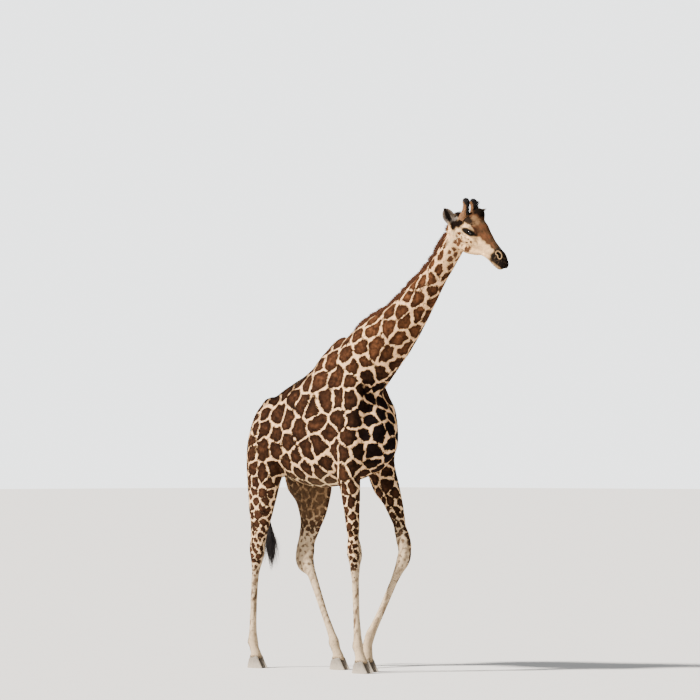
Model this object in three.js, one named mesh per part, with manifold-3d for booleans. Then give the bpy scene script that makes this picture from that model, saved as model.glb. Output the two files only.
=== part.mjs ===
// A life-size giraffe, walking, as a still model. Millimetres, +Z up, nose towards +X, its left side towards +Y,
// hooves on the plane Z = 0, and the origin under the middle of the whole animal's box.
// The flesh is lofted along named spines, joined to one body, and parted again by thin flat cuts. What is set into
// the flesh, such as an ear or a horn, is whole, and stands in a socket cut a little larger than itself.

import * as THREE from "three";
import { mergeVertices } from "three/addons/utils/BufferGeometryUtils.js";
import Module from "manifold-3d";

const wasm = await Module();
wasm.setup();

// ---- Driving dimensions ----------------------------------------------------------------------------------------

const GAP = 0.4; // width of every parting cut, and the play round a piece in its socket
const RIGHT = -1; // the side of a piece, as the sign of its Y
const LEFT = 1;
const FAR_AWAY = 6000; // side of a block that reaches past the whole animal

const HEAD_ORIGIN = { x: 1572, y: 10, z: 3862 }; // back of the skull
const HEAD_PITCH = 35; // degrees that the face points below level
const HEAD_YAW = 6; // degrees that the face is turned to its left
const HEAD_SCALE = 0.955;

const EYE_RADIUS = 27;
const EYE_PLACE = { along: 286, side: 104, up: 102 }; // in the head's own frame

const MANE_HEIGHT = 58; // of the hair over the neck's flesh
const MANE_HALF_WIDTH = 17;

const HOOF_HEIGHT = 90;
const TOE_REACH = 108; // from the middle of the coronet to the tip of the toe, on the floor
const HEEL_REACH = 76;
const CLAW_HALF_WIDTH = 28;
const CLEFT = 6; // space between the two claws of a foot

const COLOURS = {
  coat: 0x8a5a3a,
  pale: 0xd2bb98,
  mane: 0x6b3f28,
  horn: 0x3d2c22,
  hoof: 0x6f665c,
  eye: 0x120c09,
  hair: 0x16110e,
};

// ---- Tools -----------------------------------------------------------------------------------------------------

const vec = (x, y, z) => new THREE.Vector3(x, y, z);

// A station of a loft: its centre, its half width to the sides, and its reach up (or forward, on a leg) and down.
const at = (x, y, z, wide, up, down = up) => ({ centre: vec(x, y, z), size: vec(wide, up, down) });

const headTurn = new THREE.Quaternion()
  .setFromAxisAngle(vec(0, 0, 1), THREE.MathUtils.degToRad(HEAD_YAW))
  .multiply(new THREE.Quaternion().setFromAxisAngle(vec(0, 1, 0), THREE.MathUtils.degToRad(HEAD_PITCH)));

// A place in the head's own frame (along the face, to the side, up off the brow) as a place in the animal's frame.
const headPoint = (along, side, up) =>
  vec(along, side, up).multiplyScalar(HEAD_SCALE).applyQuaternion(headTurn).add(vec(0, 0, 0).copy(HEAD_ORIGIN));

function onHead(along, side, up, wide, high, low = high) {
  return { centre: headPoint(along, side, up), size: vec(wide, high, low).multiplyScalar(HEAD_SCALE) };
}

// A solid from a closed geometry, whichever way its faces are wound.
function solidOf(geometry) {
  const bare = geometry.clone();
  bare.deleteAttribute("normal");
  bare.deleteAttribute("uv");
  const merged = mergeVertices(bare, 1e-3);
  const points = merged.attributes.position.array;
  const made = new wasm.Manifold(
    new wasm.Mesh({ numProp: 3, vertProperties: points, triVerts: new Uint32Array(merged.index.array) }),
  );
  if (made.volume() > 0) return made;
  const turned = new Uint32Array(merged.index.array).reverse();
  return new wasm.Manifold(new wasm.Mesh({ numProp: 3, vertProperties: points, triVerts: turned }));
}

// A rounded bar through the stations. `around` is its number of sides and `steps` its rings per span. Under 2, `top`
// and `bottom` pinch the upper and lower half of the section towards a ridge; over 2 they square it.
function loft(stations, { around = 16, steps = 2, top = 2, bottom = 2, side = vec(0, 1, 0) } = {}) {
  const spine = new THREE.CatmullRomCurve3(stations.map((s) => s.centre), false, "centripetal");
  const sizes = new THREE.CatmullRomCurve3(stations.map((s) => s.size), false, "catmullrom", 0.35);
  const count = (stations.length - 1) * steps;
  const points = [];
  for (let ring = 0; ring <= count; ring++) {
    const centre = spine.getPoint(ring / count);
    const size = sizes.getPoint(ring / count);
    const tangent = spine.getTangent(ring / count);
    const across = side.clone().addScaledVector(tangent, -side.dot(tangent)).normalize();
    const upward = tangent.clone().cross(across);
    for (let k = 0; k < around; k++) {
      const angle = (2 * Math.PI * k) / around;
      const c = Math.cos(angle);
      const s = Math.sin(angle);
      const power = 2 / (s > 0 ? top : bottom);
      const sideways = size.x * Math.sign(c) * Math.abs(c) ** power;
      const upwards = (s > 0 ? size.y : size.z) * Math.sign(s) * Math.abs(s) ** power;
      points.push(centre.clone().addScaledVector(across, sideways).addScaledVector(upward, upwards));
    }
  }
  const faces = [];
  for (let ring = 0; ring < count; ring++)
    for (let k = 0; k < around; k++) {
      const a = ring * around + k;
      const b = ring * around + ((k + 1) % around);
      faces.push(a, b, a + around, b, b + around, a + around);
    }
  const first = points.push(spine.getPoint(0)) - 1;
  const last = points.push(spine.getPoint(1)) - 1;
  for (let k = 0; k < around; k++) {
    const next = (k + 1) % around;
    faces.push(first, next, k);
    faces.push(last, count * around + k, count * around + next);
  }
  const geometry = new THREE.BufferGeometry().setFromPoints(points);
  return solidOf(geometry.setIndex(faces));
}

// The same stations, larger by `play` all round, and longer by it at both ends.
function grown(stations, play = GAP) {
  const larger = stations.map((s) => ({
    centre: s.centre.clone(),
    size: s.size.clone().addScalar(play),
  }));
  const push = (end, inner) => {
    const away = larger[end].centre.clone().sub(larger[inner].centre).setLength(play);
    larger[end].centre.add(away);
  };
  push(0, 1);
  push(larger.length - 1, larger.length - 2);
  return larger;
}

// An egg-shaped lump with its own half lengths, turned as the head is when `turn` is given.
function lump(centre, halves, turn = null, detail = 12) {
  const shape = new THREE.SphereGeometry(1, detail, Math.round(detail * 0.7));
  shape.scale(halves.x, halves.y, halves.z);
  if (turn) shape.applyQuaternion(turn);
  shape.translate(centre.x, centre.y, centre.z);
  return solidOf(shape);
}

// Everything beyond a plane through `point`; `towards` points into the block, and `shift` moves its face outwards.
function halfSpace(point, towards, shift = 0) {
  const block = new THREE.BoxGeometry(FAR_AWAY, FAR_AWAY, FAR_AWAY);
  block.translate(0, 0, FAR_AWAY / 2 - shift);
  block.applyQuaternion(new THREE.Quaternion().setFromUnitVectors(vec(0, 0, 1), towards.clone().normalize()));
  block.translate(point.x, point.y, point.z);
  return solidOf(block);
}

// The space that all the planes leave. Each plane is [a point on it, the way into the space].
const region = (planes, shift = 0) =>
  planes.map(([point, towards]) => halfSpace(point, towards, shift)).reduce((all, next) => all.intersect(next));

const join = (solids) => solids.reduce((all, next) => all.add(next));

// ---- Trunk and neck --------------------------------------------------------------------------------------------

const TRUNK = [
  at(-770, 0, 2190, 60, 70, 80),
  at(-735, 0, 2170, 130, 160, 170),
  at(-640, 0, 2150, 205, 268, 275),
  at(-460, 0, 2110, 255, 402, 372),
  at(-240, 0, 2085, 300, 505, 432),
  at(0, 0, 2080, 330, 616, 472),
  at(200, 0, 2095, 325, 745, 468),
  at(380, 0, 2120, 290, 825, 448),
  at(540, 0, 2150, 250, 760, 425),
  at(680, 0, 2200, 205, 500, 365),
  at(765, 0, 2240, 140, 260, 235),
  at(800, 0, 2260, 60, 110, 90),
];

const NECK = [
  at(420, 0, 2620, 215, 310, 330),
  at(549, 0, 2736, 215, 268, 320),
  at(702, 0, 2861, 198, 242, 305),
  at(869, 0, 2962, 172, 214, 264),
  at(973, 0, 3034, 152, 192, 228),
  at(1114, 0, 3159, 130, 167, 190),
  at(1241, 0, 3286, 112, 144, 160),
  at(1372, 0, 3415, 94, 119, 128),
  at(1440, 0, 3488, 88, 110, 116),
  at(1537, 4, 3609, 88, 108, 114),
  at(1600, 8, 3690, 88, 108, 112),
  at(1650, 14, 3780, 80, 94, 96),
];

// ---- Legs ------------------------------------------------------------------------------------------------------

const FORE_RIGHT = [
  at(450, -90, 2760, 40, 60, 80),
  at(500, -150, 2580, 72, 110, 140),
  at(560, -185, 2360, 92, 140, 185),
  at(560, -202, 2120, 94, 155, 185),
  at(545, -210, 1900, 95, 134, 165),
  at(545, -203, 1740, 91, 116, 136),
  at(552, -192, 1560, 78, 98, 94),
  at(562, -182, 1350, 66, 72, 70),
  at(570, -174, 1170, 58, 60, 60),
  at(576, -169, 1050, 64, 66, 64),
  at(579, -166, 985, 63, 66, 64),
  at(580, -164, 900, 47, 46, 50),
  at(583, -160, 790, 36, 34, 38),
  at(590, -154, 500, 32, 32, 37),
  at(597, -150, 330, 38, 38, 44),
  at(602, -148, 250, 46, 45, 52),
  at(616, -146, 175, 43, 44, 46),
  at(630, -144, 118, 50, 54, 56),
  at(634, -144, 60, 52, 56, 58),
];

const FORE_LEFT = [
  at(450, 90, 2760, 40, 60, 80),
  at(480, 140, 2580, 62, 100, 130),
  at(540, 180, 2350, 85, 122, 170),
  at(592, 205, 2140, 92, 130, 185),
  at(582, 208, 1990, 90, 112, 190),
  at(580, 208, 1830, 84, 92, 220),
  at(628, 211, 1660, 80, 90, 205),
  at(692, 214, 1480, 71, 78, 116),
  at(745, 216, 1310, 60, 64, 74),
  at(794, 216, 1150, 60, 66, 60),
  at(812, 213, 1050, 64, 72, 64),
  at(796, 207, 970, 60, 66, 60),
  at(757, 192, 880, 44, 46, 48),
  at(716, 176, 785, 36, 37, 39),
  at(622, 132, 550, 34, 35, 38),
  at(556, 103, 400, 38, 38, 44),
  at(516, 88, 318, 46, 48, 50),
  at(497, 80, 235, 43, 43, 46),
  at(490, 78, 150, 50, 52, 56),
  at(490, 78, 60, 52, 56, 58),
];

const HIND_RIGHT = [
  at(-480, -90, 2400, 60, 100, 130),
  at(-480, -150, 2220, 105, 190, 215),
  at(-490, -185, 1990, 122, 220, 245),
  at(-510, -198, 1790, 116, 205, 225),
  at(-540, -196, 1610, 100, 172, 190),
  at(-580, -190, 1430, 82, 148, 142),
  at(-615, -182, 1270, 66, 120, 102),
  at(-634, -175, 1140, 58, 88, 92),
  at(-645, -170, 1040, 56, 82, 92),
  at(-655, -166, 955, 46, 58, 66),
  at(-680, -161, 830, 36, 37, 40),
  at(-712, -153, 500, 33, 34, 37),
  at(-722, -149, 330, 37, 38, 43),
  at(-722, -146, 250, 45, 45, 52),
  at(-706, -144, 175, 42, 43, 46),
  at(-690, -143, 118, 49, 53, 55),
  at(-686, -143, 60, 51, 55, 57),
];

const HIND_LEFT = [
  at(-480, 90, 2400, 60, 100, 130),
  at(-450, 150, 2220, 105, 190, 215),
  at(-410, 185, 1990, 122, 230, 255),
  at(-345, 200, 1790, 120, 232, 330),
  at(-300, 203, 1610, 104, 205, 318),
  at(-300, 198, 1430, 82, 160, 206),
  at(-335, 190, 1270, 63, 118, 134),
  at(-375, 182, 1130, 56, 96, 108),
  at(-372, 176, 1030, 54, 92, 134),
  at(-352, 172, 950, 47, 66, 140),
  at(-290, 169, 840, 38, 40, 60),
  at(-135, 165, 500, 33, 35, 37),
  at(-40, 162, 320, 37, 38, 43),
  at(-2, 161, 245, 45, 45, 52),
  at(22, 160, 175, 42, 43, 46),
  at(46, 160, 118, 49, 53, 55),
  at(50, 160, 60, 51, 55, 57),
];

const FEET = {
  fore_right: FORE_RIGHT,
  fore_left: FORE_LEFT,
  hind_right: HIND_RIGHT,
  hind_left: HIND_LEFT,
};

const legLoft = (stations) => loft(stations, { around: 12, steps: 1 });

// One claw of a hoof: a wall that leans back from a rounded toe, on a flat sole.
function claw(foot, side) {
  const coronet = foot[foot.length - 1].centre;
  const y = coronet.y + side * (CLAW_HALF_WIDTH + CLEFT / 2);
  const ring = (z, reach, heel, wide) => at(coronet.x, y, z, wide, reach, heel);
  return loft(
    [
      ring(HOOF_HEIGHT, 54, 54, CLAW_HALF_WIDTH * 0.82),
      ring(HOOF_HEIGHT * 0.5, 80, 66, CLAW_HALF_WIDTH * 0.97),
      ring(0, TOE_REACH, HEEL_REACH, CLAW_HALF_WIDTH),
    ],
    { around: 12, steps: 1, top: 1.8, bottom: 2.4 },
  );
}

// ---- Head ------------------------------------------------------------------------------------------------------

function skullAndJaw() {
  const cranium = loft(
    [
      onHead(-10, 0, -10, 55, 60, 70),
      onHead(30, 0, 5, 84, 105, 110),
      onHead(100, 0, 30, 98, 142, 140),
      onHead(170, 0, 50, 106, 178, 142),
      onHead(250, 0, 62, 110, 188, 124),
      onHead(320, 0, 72, 102, 164, 108),
      onHead(400, 0, 74, 80, 118, 82),
      onHead(480, 0, 68, 62, 92, 58),
      onHead(560, 0, 62, 56, 79, 45),
      onHead(620, 0, 56, 59, 70, 46),
      onHead(675, 0, 46, 57, 48, 44),
      onHead(712, 0, 34, 46, 38, 36),
      onHead(732, 0, 26, 22, 18, 16),
    ],
    { around: 18, steps: 1, top: 1.9, bottom: 2.6 },
  );
  const mandible = loft(
    [
      onHead(110, 0, -10, 62, 50, 50),
      onHead(185, 0, -40, 84, 70, 78),
      onHead(262, 0, -50, 80, 70, 68),
      onHead(350, 0, -34, 64, 60, 50),
      onHead(440, 0, -6, 50, 44, 28),
      onHead(530, 0, 2, 42, 34, 28),
      onHead(610, 0, -8, 36, 22, 30),
      onHead(672, 0, -10, 34, 16, 28),
      onHead(704, 0, -6, 16, 8, 12),
    ],
    { around: 12, steps: 1 },
  );
  const orbits = [RIGHT, LEFT].map((side) => lump(headPoint(286, side * 82, 106), vec(72, 44, 46), headTurn, 10));
  const brows = [RIGHT, LEFT].map((side) => lump(headPoint(232, side * 70, 154), vec(92, 48, 52), headTurn, 10));
  const middleHorn = lump(headPoint(206, 0, 222), vec(64, 44, 84), headTurn, 10);
  return join([cranium, mandible, middleHorn, ...orbits, ...brows]);
}

const ossiconeStations = (side) => [
  onHead(124, side * 62, 130, 44, 44),
  onHead(118, side * 60, 172, 40, 40),
  onHead(102, side * 58, 208, 31, 32),
  onHead(77, side * 56, 247, 26, 27),
  onHead(52, side * 54, 282, 29, 30),
  onHead(40, side * 53, 301, 23, 24),
  onHead(35, side * 53, 309, 9, 9),
];

// The ear is a leaf with a scoop taken out of the side that it opens to. The right one is laid back, the left one
// stands out. Each is told by the reach from its root to its tip and the way its opening faces, in the head's frame.
const EARS = {
  [RIGHT]: { root: headPoint(78, -84, 38), reach: [-138, -52, 96], opening: [0.5, -0.78, 0.3] },
  [LEFT]: { root: headPoint(78, 84, 38), reach: [-19, 178, 185], opening: [0.9, 0.25, -0.3] },
};

function earForm(side) {
  const { reach, opening } = EARS[side];
  const spine = vec(...reach).applyQuaternion(headTurn);
  const facing = vec(...opening).applyQuaternion(headTurn);
  return { around: 12, steps: 1, side: facing.cross(spine).normalize() };
}

// A section of the ear, `share` of the way to its tip and `forward` towards its opening.
function earLeaf(side, share, wide, thick, forward = 0) {
  const { root, reach, opening } = EARS[side];
  const spine = vec(...reach).applyQuaternion(headTurn);
  const facing = vec(...opening).applyQuaternion(headTurn).normalize();
  const bow = forward - 20 * Math.sin(Math.PI * share);
  const centre = root.clone().addScaledVector(spine, share).addScaledVector(facing, bow);
  return { centre, size: vec(wide, thick, thick) };
}

const earStations = (side) => [
  earLeaf(side, 0, 22, 22),
  earLeaf(side, 0.14, 31, 27),
  earLeaf(side, 0.32, 47, 27),
  earLeaf(side, 0.56, 55, 22),
  earLeaf(side, 0.8, 43, 15),
  earLeaf(side, 0.95, 20, 8),
  earLeaf(side, 1.0, 7, 4),
];

function ear(side) {
  const scoop = [
    earLeaf(side, 0.2, 14, 8, 24),
    earLeaf(side, 0.34, 37, 21, 22),
    earLeaf(side, 0.56, 46, 20, 22),
    earLeaf(side, 0.8, 35, 15, 16),
    earLeaf(side, 0.93, 12, 6, 9),
  ];
  return loft(earStations(side), earForm(side)).subtract(loft(scoop, earForm(side)));
}

const eyeBall = (side, play = 0) => {
  const p = headPoint(EYE_PLACE.along, side * EYE_PLACE.side, EYE_PLACE.up);
  const r = EYE_RADIUS + play;
  return lump(p, vec(r, r, r), null, 13);
};

function nostril(side) {
  return lump(headPoint(642, side * 52, 66), vec(26, 14, 11), headTurn, 8);
}

// ---- Tail and mane ---------------------------------------------------------------------------------------------

const TAIL = [
  at(-700, 0, 2230, 44, 40, 40),
  at(-775, 4, 2215, 42, 44, 40),
  at(-815, 10, 2120, 34, 32, 32),
  at(-826, 24, 1950, 27, 25, 25),
  at(-822, 52, 1700, 21, 20, 20),
  at(-802, 82, 1450, 17, 16, 16),
  at(-785, 100, 1290, 15, 14, 14),
];

const TAIL_TUFT = [
  at(-788, 98, 1320, 16.5, 15.5, 15.5),
  at(-782, 102, 1250, 31, 33, 33),
  at(-772, 108, 1140, 43, 45, 45),
  at(-766, 114, 1030, 38, 38, 38),
  at(-766, 118, 940, 24, 24, 24),
  at(-770, 120, 870, 8, 8, 8),
];

// The mane stands on the neck's upper line, from the withers to the poll.
const maneStations = () => {
  const ridge = NECK.slice(1, -1).map((s, i) => {
    const tangent = NECK[i + 2].centre.clone().sub(NECK[i].centre).normalize();
    return { foot: s.centre.clone().addScaledVector(tangent.cross(vec(0, 1, 0)), s.size.y), high: i < 2 ? 0.35 + 0.4 * i : 1 };
  });
  ridge.push({ foot: headPoint(8, 0, 62), high: 0.8 });
  ridge.push({ foot: headPoint(40, 0, 108), high: 0.4 });
  return ridge.map(({ foot, high }) => ({ centre: foot, size: vec(MANE_HALF_WIDTH, MANE_HEIGHT * high, 30) }));
};

// ---- Assembly --------------------------------------------------------------------------------------------------

const group = new THREE.Group();

function add(name, solid, colour, roughness = 0.85) {
  const made = solid.getMesh();
  const geometry = new THREE.BufferGeometry();
  geometry.setAttribute("position", new THREE.BufferAttribute(made.vertProperties, 3));
  geometry.setIndex(new THREE.BufferAttribute(made.triVerts, 1));
  const mesh = new THREE.Mesh(geometry, new THREE.MeshStandardMaterial({ color: colour, roughness, metalness: 0 }));
  mesh.name = name;
  group.add(mesh);
}

const sideName = (side) => (side === RIGHT ? "right" : "left");
const sides = [RIGHT, LEFT];

const MANE_FORM = { around: 8, steps: 2, top: 3, bottom: 3 };
const HORN_FORM = { around: 12, steps: 1 };

const sockets = [loft(grown(maneStations()), MANE_FORM), loft(grown(TAIL), { around: 8, steps: 1 })];
for (const side of sides) {
  sockets.push(loft(grown(ossiconeStations(side)), HORN_FORM));
  sockets.push(loft(grown(earStations(side)), earForm(side)));
  sockets.push(eyeBall(side, GAP));
  sockets.push(nostril(side));
}
const floorOfFlesh = halfSpace(vec(0, 0, HOOF_HEIGHT + GAP), vec(0, 0, 1));
const whole = join([
  loft(TRUNK, { around: 26, steps: 1, top: 1.8, bottom: 2.2 }),
  loft(NECK, { around: 18, steps: 1 }),
  ...Object.values(FEET).map(legLoft),
  skullAndJaw(),
]);
const flesh = whole.subtract(join(sockets)).intersect(floorOfFlesh);

// Each part of the flesh is what lies inside all of its planes.
const PARTS = {
  head: [[vec(1608, 0, 3722), vec(0.9, 0, 0.43)]],
  neck: [
    [vec(665, 0, 2775), vec(0.758, 0, 0.652)],
    [vec(1608, 0, 3722), vec(-0.9, 0, -0.43)],
  ],
  foreleg_right: [
    [vec(540, -130, 1800), vec(0, -0.7, -0.72)],
    [vec(300, 0, 1000), vec(1, 0, 0)],
    [vec(0, 0, 1000), vec(0, -1, 0)],
  ],
  foreleg_left: [
    [vec(540, 130, 1800), vec(0, 0.7, -0.72)],
    [vec(300, 0, 1000), vec(1, 0, 0)],
    [vec(0, 0, 1000), vec(0, 1, 0)],
  ],
  hindleg_right: [
    [vec(-400, -120, 1800), vec(0, -0.7, -0.72)],
    [vec(-120, 0, 1950), vec(-0.98, 0, -0.19)],
    [vec(0, 0, 1000), vec(0, -1, 0)],
  ],
  hindleg_left: [
    [vec(-400, 120, 1800), vec(0, 0.7, -0.72)],
    [vec(-120, 0, 1950), vec(-0.98, 0, -0.19)],
    [vec(0, 0, 1000), vec(0, 1, 0)],
  ],
};

let trunk = flesh;
for (const planes of Object.values(PARTS)) trunk = trunk.subtract(region(planes, GAP / 2));
add("trunk", trunk, COLOURS.coat);
for (const [name, planes] of Object.entries(PARTS)) add(name, flesh.intersect(region(planes, -GAP / 2)), COLOURS.coat);

add("mane", loft(maneStations(), MANE_FORM), COLOURS.mane);
const tail = loft(TAIL, { around: 8, steps: 1 });
const tuft = loft(TAIL_TUFT, { around: 8, steps: 1 });
add("tail", tail.subtract(loft(grown(TAIL_TUFT), { around: 8, steps: 1 })), COLOURS.pale);
add("tail_tuft", tuft, COLOURS.hair);
for (const side of sides) {
  add(`ossicone_${sideName(side)}`, loft(ossiconeStations(side), HORN_FORM), COLOURS.horn);
  add(`ear_${sideName(side)}`, ear(side), COLOURS.coat);
  add(`eye_${sideName(side)}`, eyeBall(side), COLOURS.eye, 0.1);
}
for (const [name, foot] of Object.entries(FEET))
  for (const side of sides) add(`claw_${name}_${side === RIGHT ? "a" : "b"}`, claw(foot, side), COLOURS.hoof, 0.6);

// The origin goes under the middle of the whole box.
const box = new THREE.Box3().setFromObject(group);
const middle = box.getCenter(vec(0, 0, 0));
for (const mesh of group.children) mesh.geometry.translate(-middle.x, -middle.y, -box.min.z);

export default group;
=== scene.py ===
"""A life-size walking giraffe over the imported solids: one skin with its coat, and eyes, horns and hooves."""

import math

import bpy
import numpy as np
from mathutils import Matrix, Vector
from mathutils.kdtree import KDTree


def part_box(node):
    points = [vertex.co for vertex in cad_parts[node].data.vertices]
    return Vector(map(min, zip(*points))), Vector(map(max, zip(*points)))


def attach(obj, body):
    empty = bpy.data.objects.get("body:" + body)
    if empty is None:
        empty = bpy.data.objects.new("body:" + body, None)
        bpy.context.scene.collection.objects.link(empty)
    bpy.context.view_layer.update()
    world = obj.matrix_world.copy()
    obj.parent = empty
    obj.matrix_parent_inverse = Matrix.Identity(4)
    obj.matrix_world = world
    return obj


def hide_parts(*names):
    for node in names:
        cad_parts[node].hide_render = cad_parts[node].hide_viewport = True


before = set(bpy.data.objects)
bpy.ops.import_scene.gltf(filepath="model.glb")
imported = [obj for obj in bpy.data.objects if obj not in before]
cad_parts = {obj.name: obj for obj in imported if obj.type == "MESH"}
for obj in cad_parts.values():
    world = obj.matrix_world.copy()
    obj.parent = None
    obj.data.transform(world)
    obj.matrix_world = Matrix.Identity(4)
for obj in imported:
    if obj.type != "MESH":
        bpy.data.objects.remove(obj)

bl_info = {
    "name": "Walking giraffe",
    "version": (1, 0, 0),
    "blender": (4, 5, 0),
    "location": "View3D > Sidebar > Giraffe",
    "description": "Builds a life-size walking giraffe with its coat, piece by piece",
    "category": "Object",
}

MM = 0.001
RIGHT, LEFT = -1, 1
SIDES = {"right": RIGHT, "left": LEFT}

# ---- Stations: x, y, z of the centre, half width, reach up (forward on a leg), reach down; in mm ----

TRUNK = [
    (-770, 0, 2190, 60, 70, 80),
    (-735, 0, 2170, 130, 160, 170),
    (-640, 0, 2150, 205, 268, 275),
    (-460, 0, 2110, 255, 402, 372),
    (-240, 0, 2085, 300, 505, 432),
    (0, 0, 2080, 330, 616, 472),
    (200, 0, 2095, 325, 745, 468),
    (380, 0, 2120, 290, 825, 448),
    (540, 0, 2150, 250, 760, 425),
    (680, 0, 2200, 205, 500, 365),
    (765, 0, 2240, 140, 260, 235),
    (800, 0, 2260, 60, 110, 90),
]
NECK = [
    (420, 0, 2620, 215, 310, 330),
    (549, 0, 2736, 215, 268, 320),
    (702, 0, 2861, 198, 242, 305),
    (869, 0, 2962, 172, 214, 264),
    (973, 0, 3034, 152, 192, 228),
    (1114, 0, 3159, 130, 167, 190),
    (1241, 0, 3286, 112, 144, 160),
    (1372, 0, 3415, 94, 119, 128),
    (1440, 0, 3488, 88, 110, 116),
    (1537, 4, 3609, 88, 108, 114),
    (1600, 8, 3690, 88, 108, 112),
    (1650, 14, 3780, 80, 94, 96),
]
FORE_RIGHT = [
    (450, -90, 2760, 40, 60, 80),
    (500, -150, 2580, 72, 110, 140),
    (560, -185, 2360, 92, 140, 185),
    (560, -202, 2120, 94, 155, 185),
    (545, -210, 1900, 95, 134, 165),
    (545, -203, 1740, 91, 116, 136),
    (552, -192, 1560, 78, 98, 94),
    (562, -182, 1350, 66, 72, 70),
    (570, -174, 1170, 58, 60, 60),
    (576, -169, 1050, 64, 66, 64),
    (579, -166, 985, 63, 66, 64),
    (580, -164, 900, 47, 46, 50),
    (583, -160, 790, 36, 34, 38),
    (590, -154, 500, 32, 32, 37),
    (597, -150, 330, 38, 38, 44),
    (602, -148, 250, 46, 45, 52),
    (616, -146, 175, 43, 44, 46),
    (630, -144, 118, 50, 54, 56),
    (634, -144, 60, 52, 56, 58),
]
FORE_LEFT = [
    (450, 90, 2760, 40, 60, 80),
    (480, 140, 2580, 62, 100, 130),
    (540, 180, 2350, 85, 122, 170),
    (592, 205, 2140, 92, 130, 185),
    (582, 208, 1990, 90, 112, 190),
    (580, 208, 1830, 84, 92, 220),
    (628, 211, 1660, 80, 90, 205),
    (692, 214, 1480, 71, 78, 116),
    (745, 216, 1310, 60, 64, 74),
    (794, 216, 1150, 60, 66, 60),
    (812, 213, 1050, 64, 72, 64),
    (796, 207, 970, 60, 66, 60),
    (757, 192, 880, 44, 46, 48),
    (716, 176, 785, 36, 37, 39),
    (622, 132, 550, 34, 35, 38),
    (556, 103, 400, 38, 38, 44),
    (516, 88, 318, 46, 48, 50),
    (497, 80, 235, 43, 43, 46),
    (490, 78, 150, 50, 52, 56),
    (490, 78, 60, 52, 56, 58),
]
HIND_RIGHT = [
    (-480, -90, 2400, 60, 100, 130),
    (-480, -150, 2220, 105, 190, 215),
    (-490, -185, 1990, 122, 220, 245),
    (-510, -198, 1790, 116, 205, 225),
    (-540, -196, 1610, 100, 172, 190),
    (-580, -190, 1430, 82, 148, 142),
    (-615, -182, 1270, 66, 120, 102),
    (-634, -175, 1140, 58, 88, 92),
    (-645, -170, 1040, 56, 82, 92),
    (-655, -166, 955, 46, 58, 66),
    (-680, -161, 830, 36, 37, 40),
    (-712, -153, 500, 33, 34, 37),
    (-722, -149, 330, 37, 38, 43),
    (-722, -146, 250, 45, 45, 52),
    (-706, -144, 175, 42, 43, 46),
    (-690, -143, 118, 49, 53, 55),
    (-686, -143, 60, 51, 55, 57),
]
HIND_LEFT = [
    (-480, 90, 2400, 60, 100, 130),
    (-450, 150, 2220, 105, 190, 215),
    (-410, 185, 1990, 122, 230, 255),
    (-345, 200, 1790, 120, 232, 330),
    (-300, 203, 1610, 104, 205, 318),
    (-300, 198, 1430, 82, 160, 206),
    (-335, 190, 1270, 63, 118, 134),
    (-375, 182, 1130, 56, 96, 108),
    (-372, 176, 1030, 54, 92, 134),
    (-352, 172, 950, 47, 66, 140),
    (-290, 169, 840, 38, 40, 60),
    (-135, 165, 500, 33, 35, 37),
    (-40, 162, 320, 37, 38, 43),
    (-2, 161, 245, 45, 45, 52),
    (22, 160, 175, 42, 43, 46),
    (46, 160, 118, 49, 53, 55),
    (50, 160, 60, 51, 55, 57),
]
TAIL = [
    (-700, 0, 2230, 44, 40, 40),
    (-775, 4, 2215, 42, 44, 40),
    (-815, 10, 2120, 34, 32, 32),
    (-826, 24, 1950, 27, 25, 25),
    (-822, 52, 1700, 21, 20, 20),
    (-802, 82, 1450, 17, 16, 16),
    (-785, 100, 1290, 15, 14, 14),
]
TAIL_TUFT = [
    (-788, 98, 1320, 16.5, 15.5, 15.5),
    (-782, 102, 1250, 31, 33, 33),
    (-772, 108, 1140, 43, 45, 45),
    (-766, 114, 1030, 38, 38, 38),
    (-766, 118, 940, 24, 24, 24),
    (-770, 120, 870, 8, 8, 8),
]
LEGS = {
    "fore_right": FORE_RIGHT,
    "fore_left": FORE_LEFT,
    "hind_right": HIND_RIGHT,
    "hind_left": HIND_LEFT,
}

HEAD_ORIGIN = np.array([1572.0, 10.0, 3862.0])  # back of the skull, mm
HEAD_PITCH, HEAD_YAW = 35.0, 6.0  # degrees below level, and to the left
HEAD_SCALE = 0.955
HEAD_TURN = np.array(
    Matrix.Rotation(math.radians(HEAD_YAW), 3, "Z") @ Matrix.Rotation(math.radians(HEAD_PITCH), 3, "Y")
)

# Along the face, height off the brow's line, half width, reach up, reach down: in the head's own frame.
CRANIUM = [
    (-10, -10, 55, 60, 70),
    (30, 5, 84, 105, 110),
    (100, 30, 98, 142, 140),
    (170, 50, 106, 178, 142),
    (250, 62, 110, 188, 124),
    (320, 72, 102, 164, 108),
    (400, 74, 80, 118, 82),
    (480, 68, 62, 92, 58),
    (560, 62, 56, 79, 45),
    (620, 56, 59, 70, 46),
    (675, 46, 57, 48, 44),
    (712, 34, 46, 38, 36),
    (732, 26, 22, 18, 16),
]
MANDIBLE = [
    (110, -10, 62, 50, 50),
    (185, -40, 84, 70, 78),
    (262, -50, 80, 70, 68),
    (350, -34, 64, 60, 50),
    (440, -6, 50, 44, 28),
    (530, 2, 42, 34, 28),
    (610, -8, 36, 22, 30),
    (672, -10, 34, 16, 28),
    (704, -6, 16, 8, 12),
]
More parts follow.
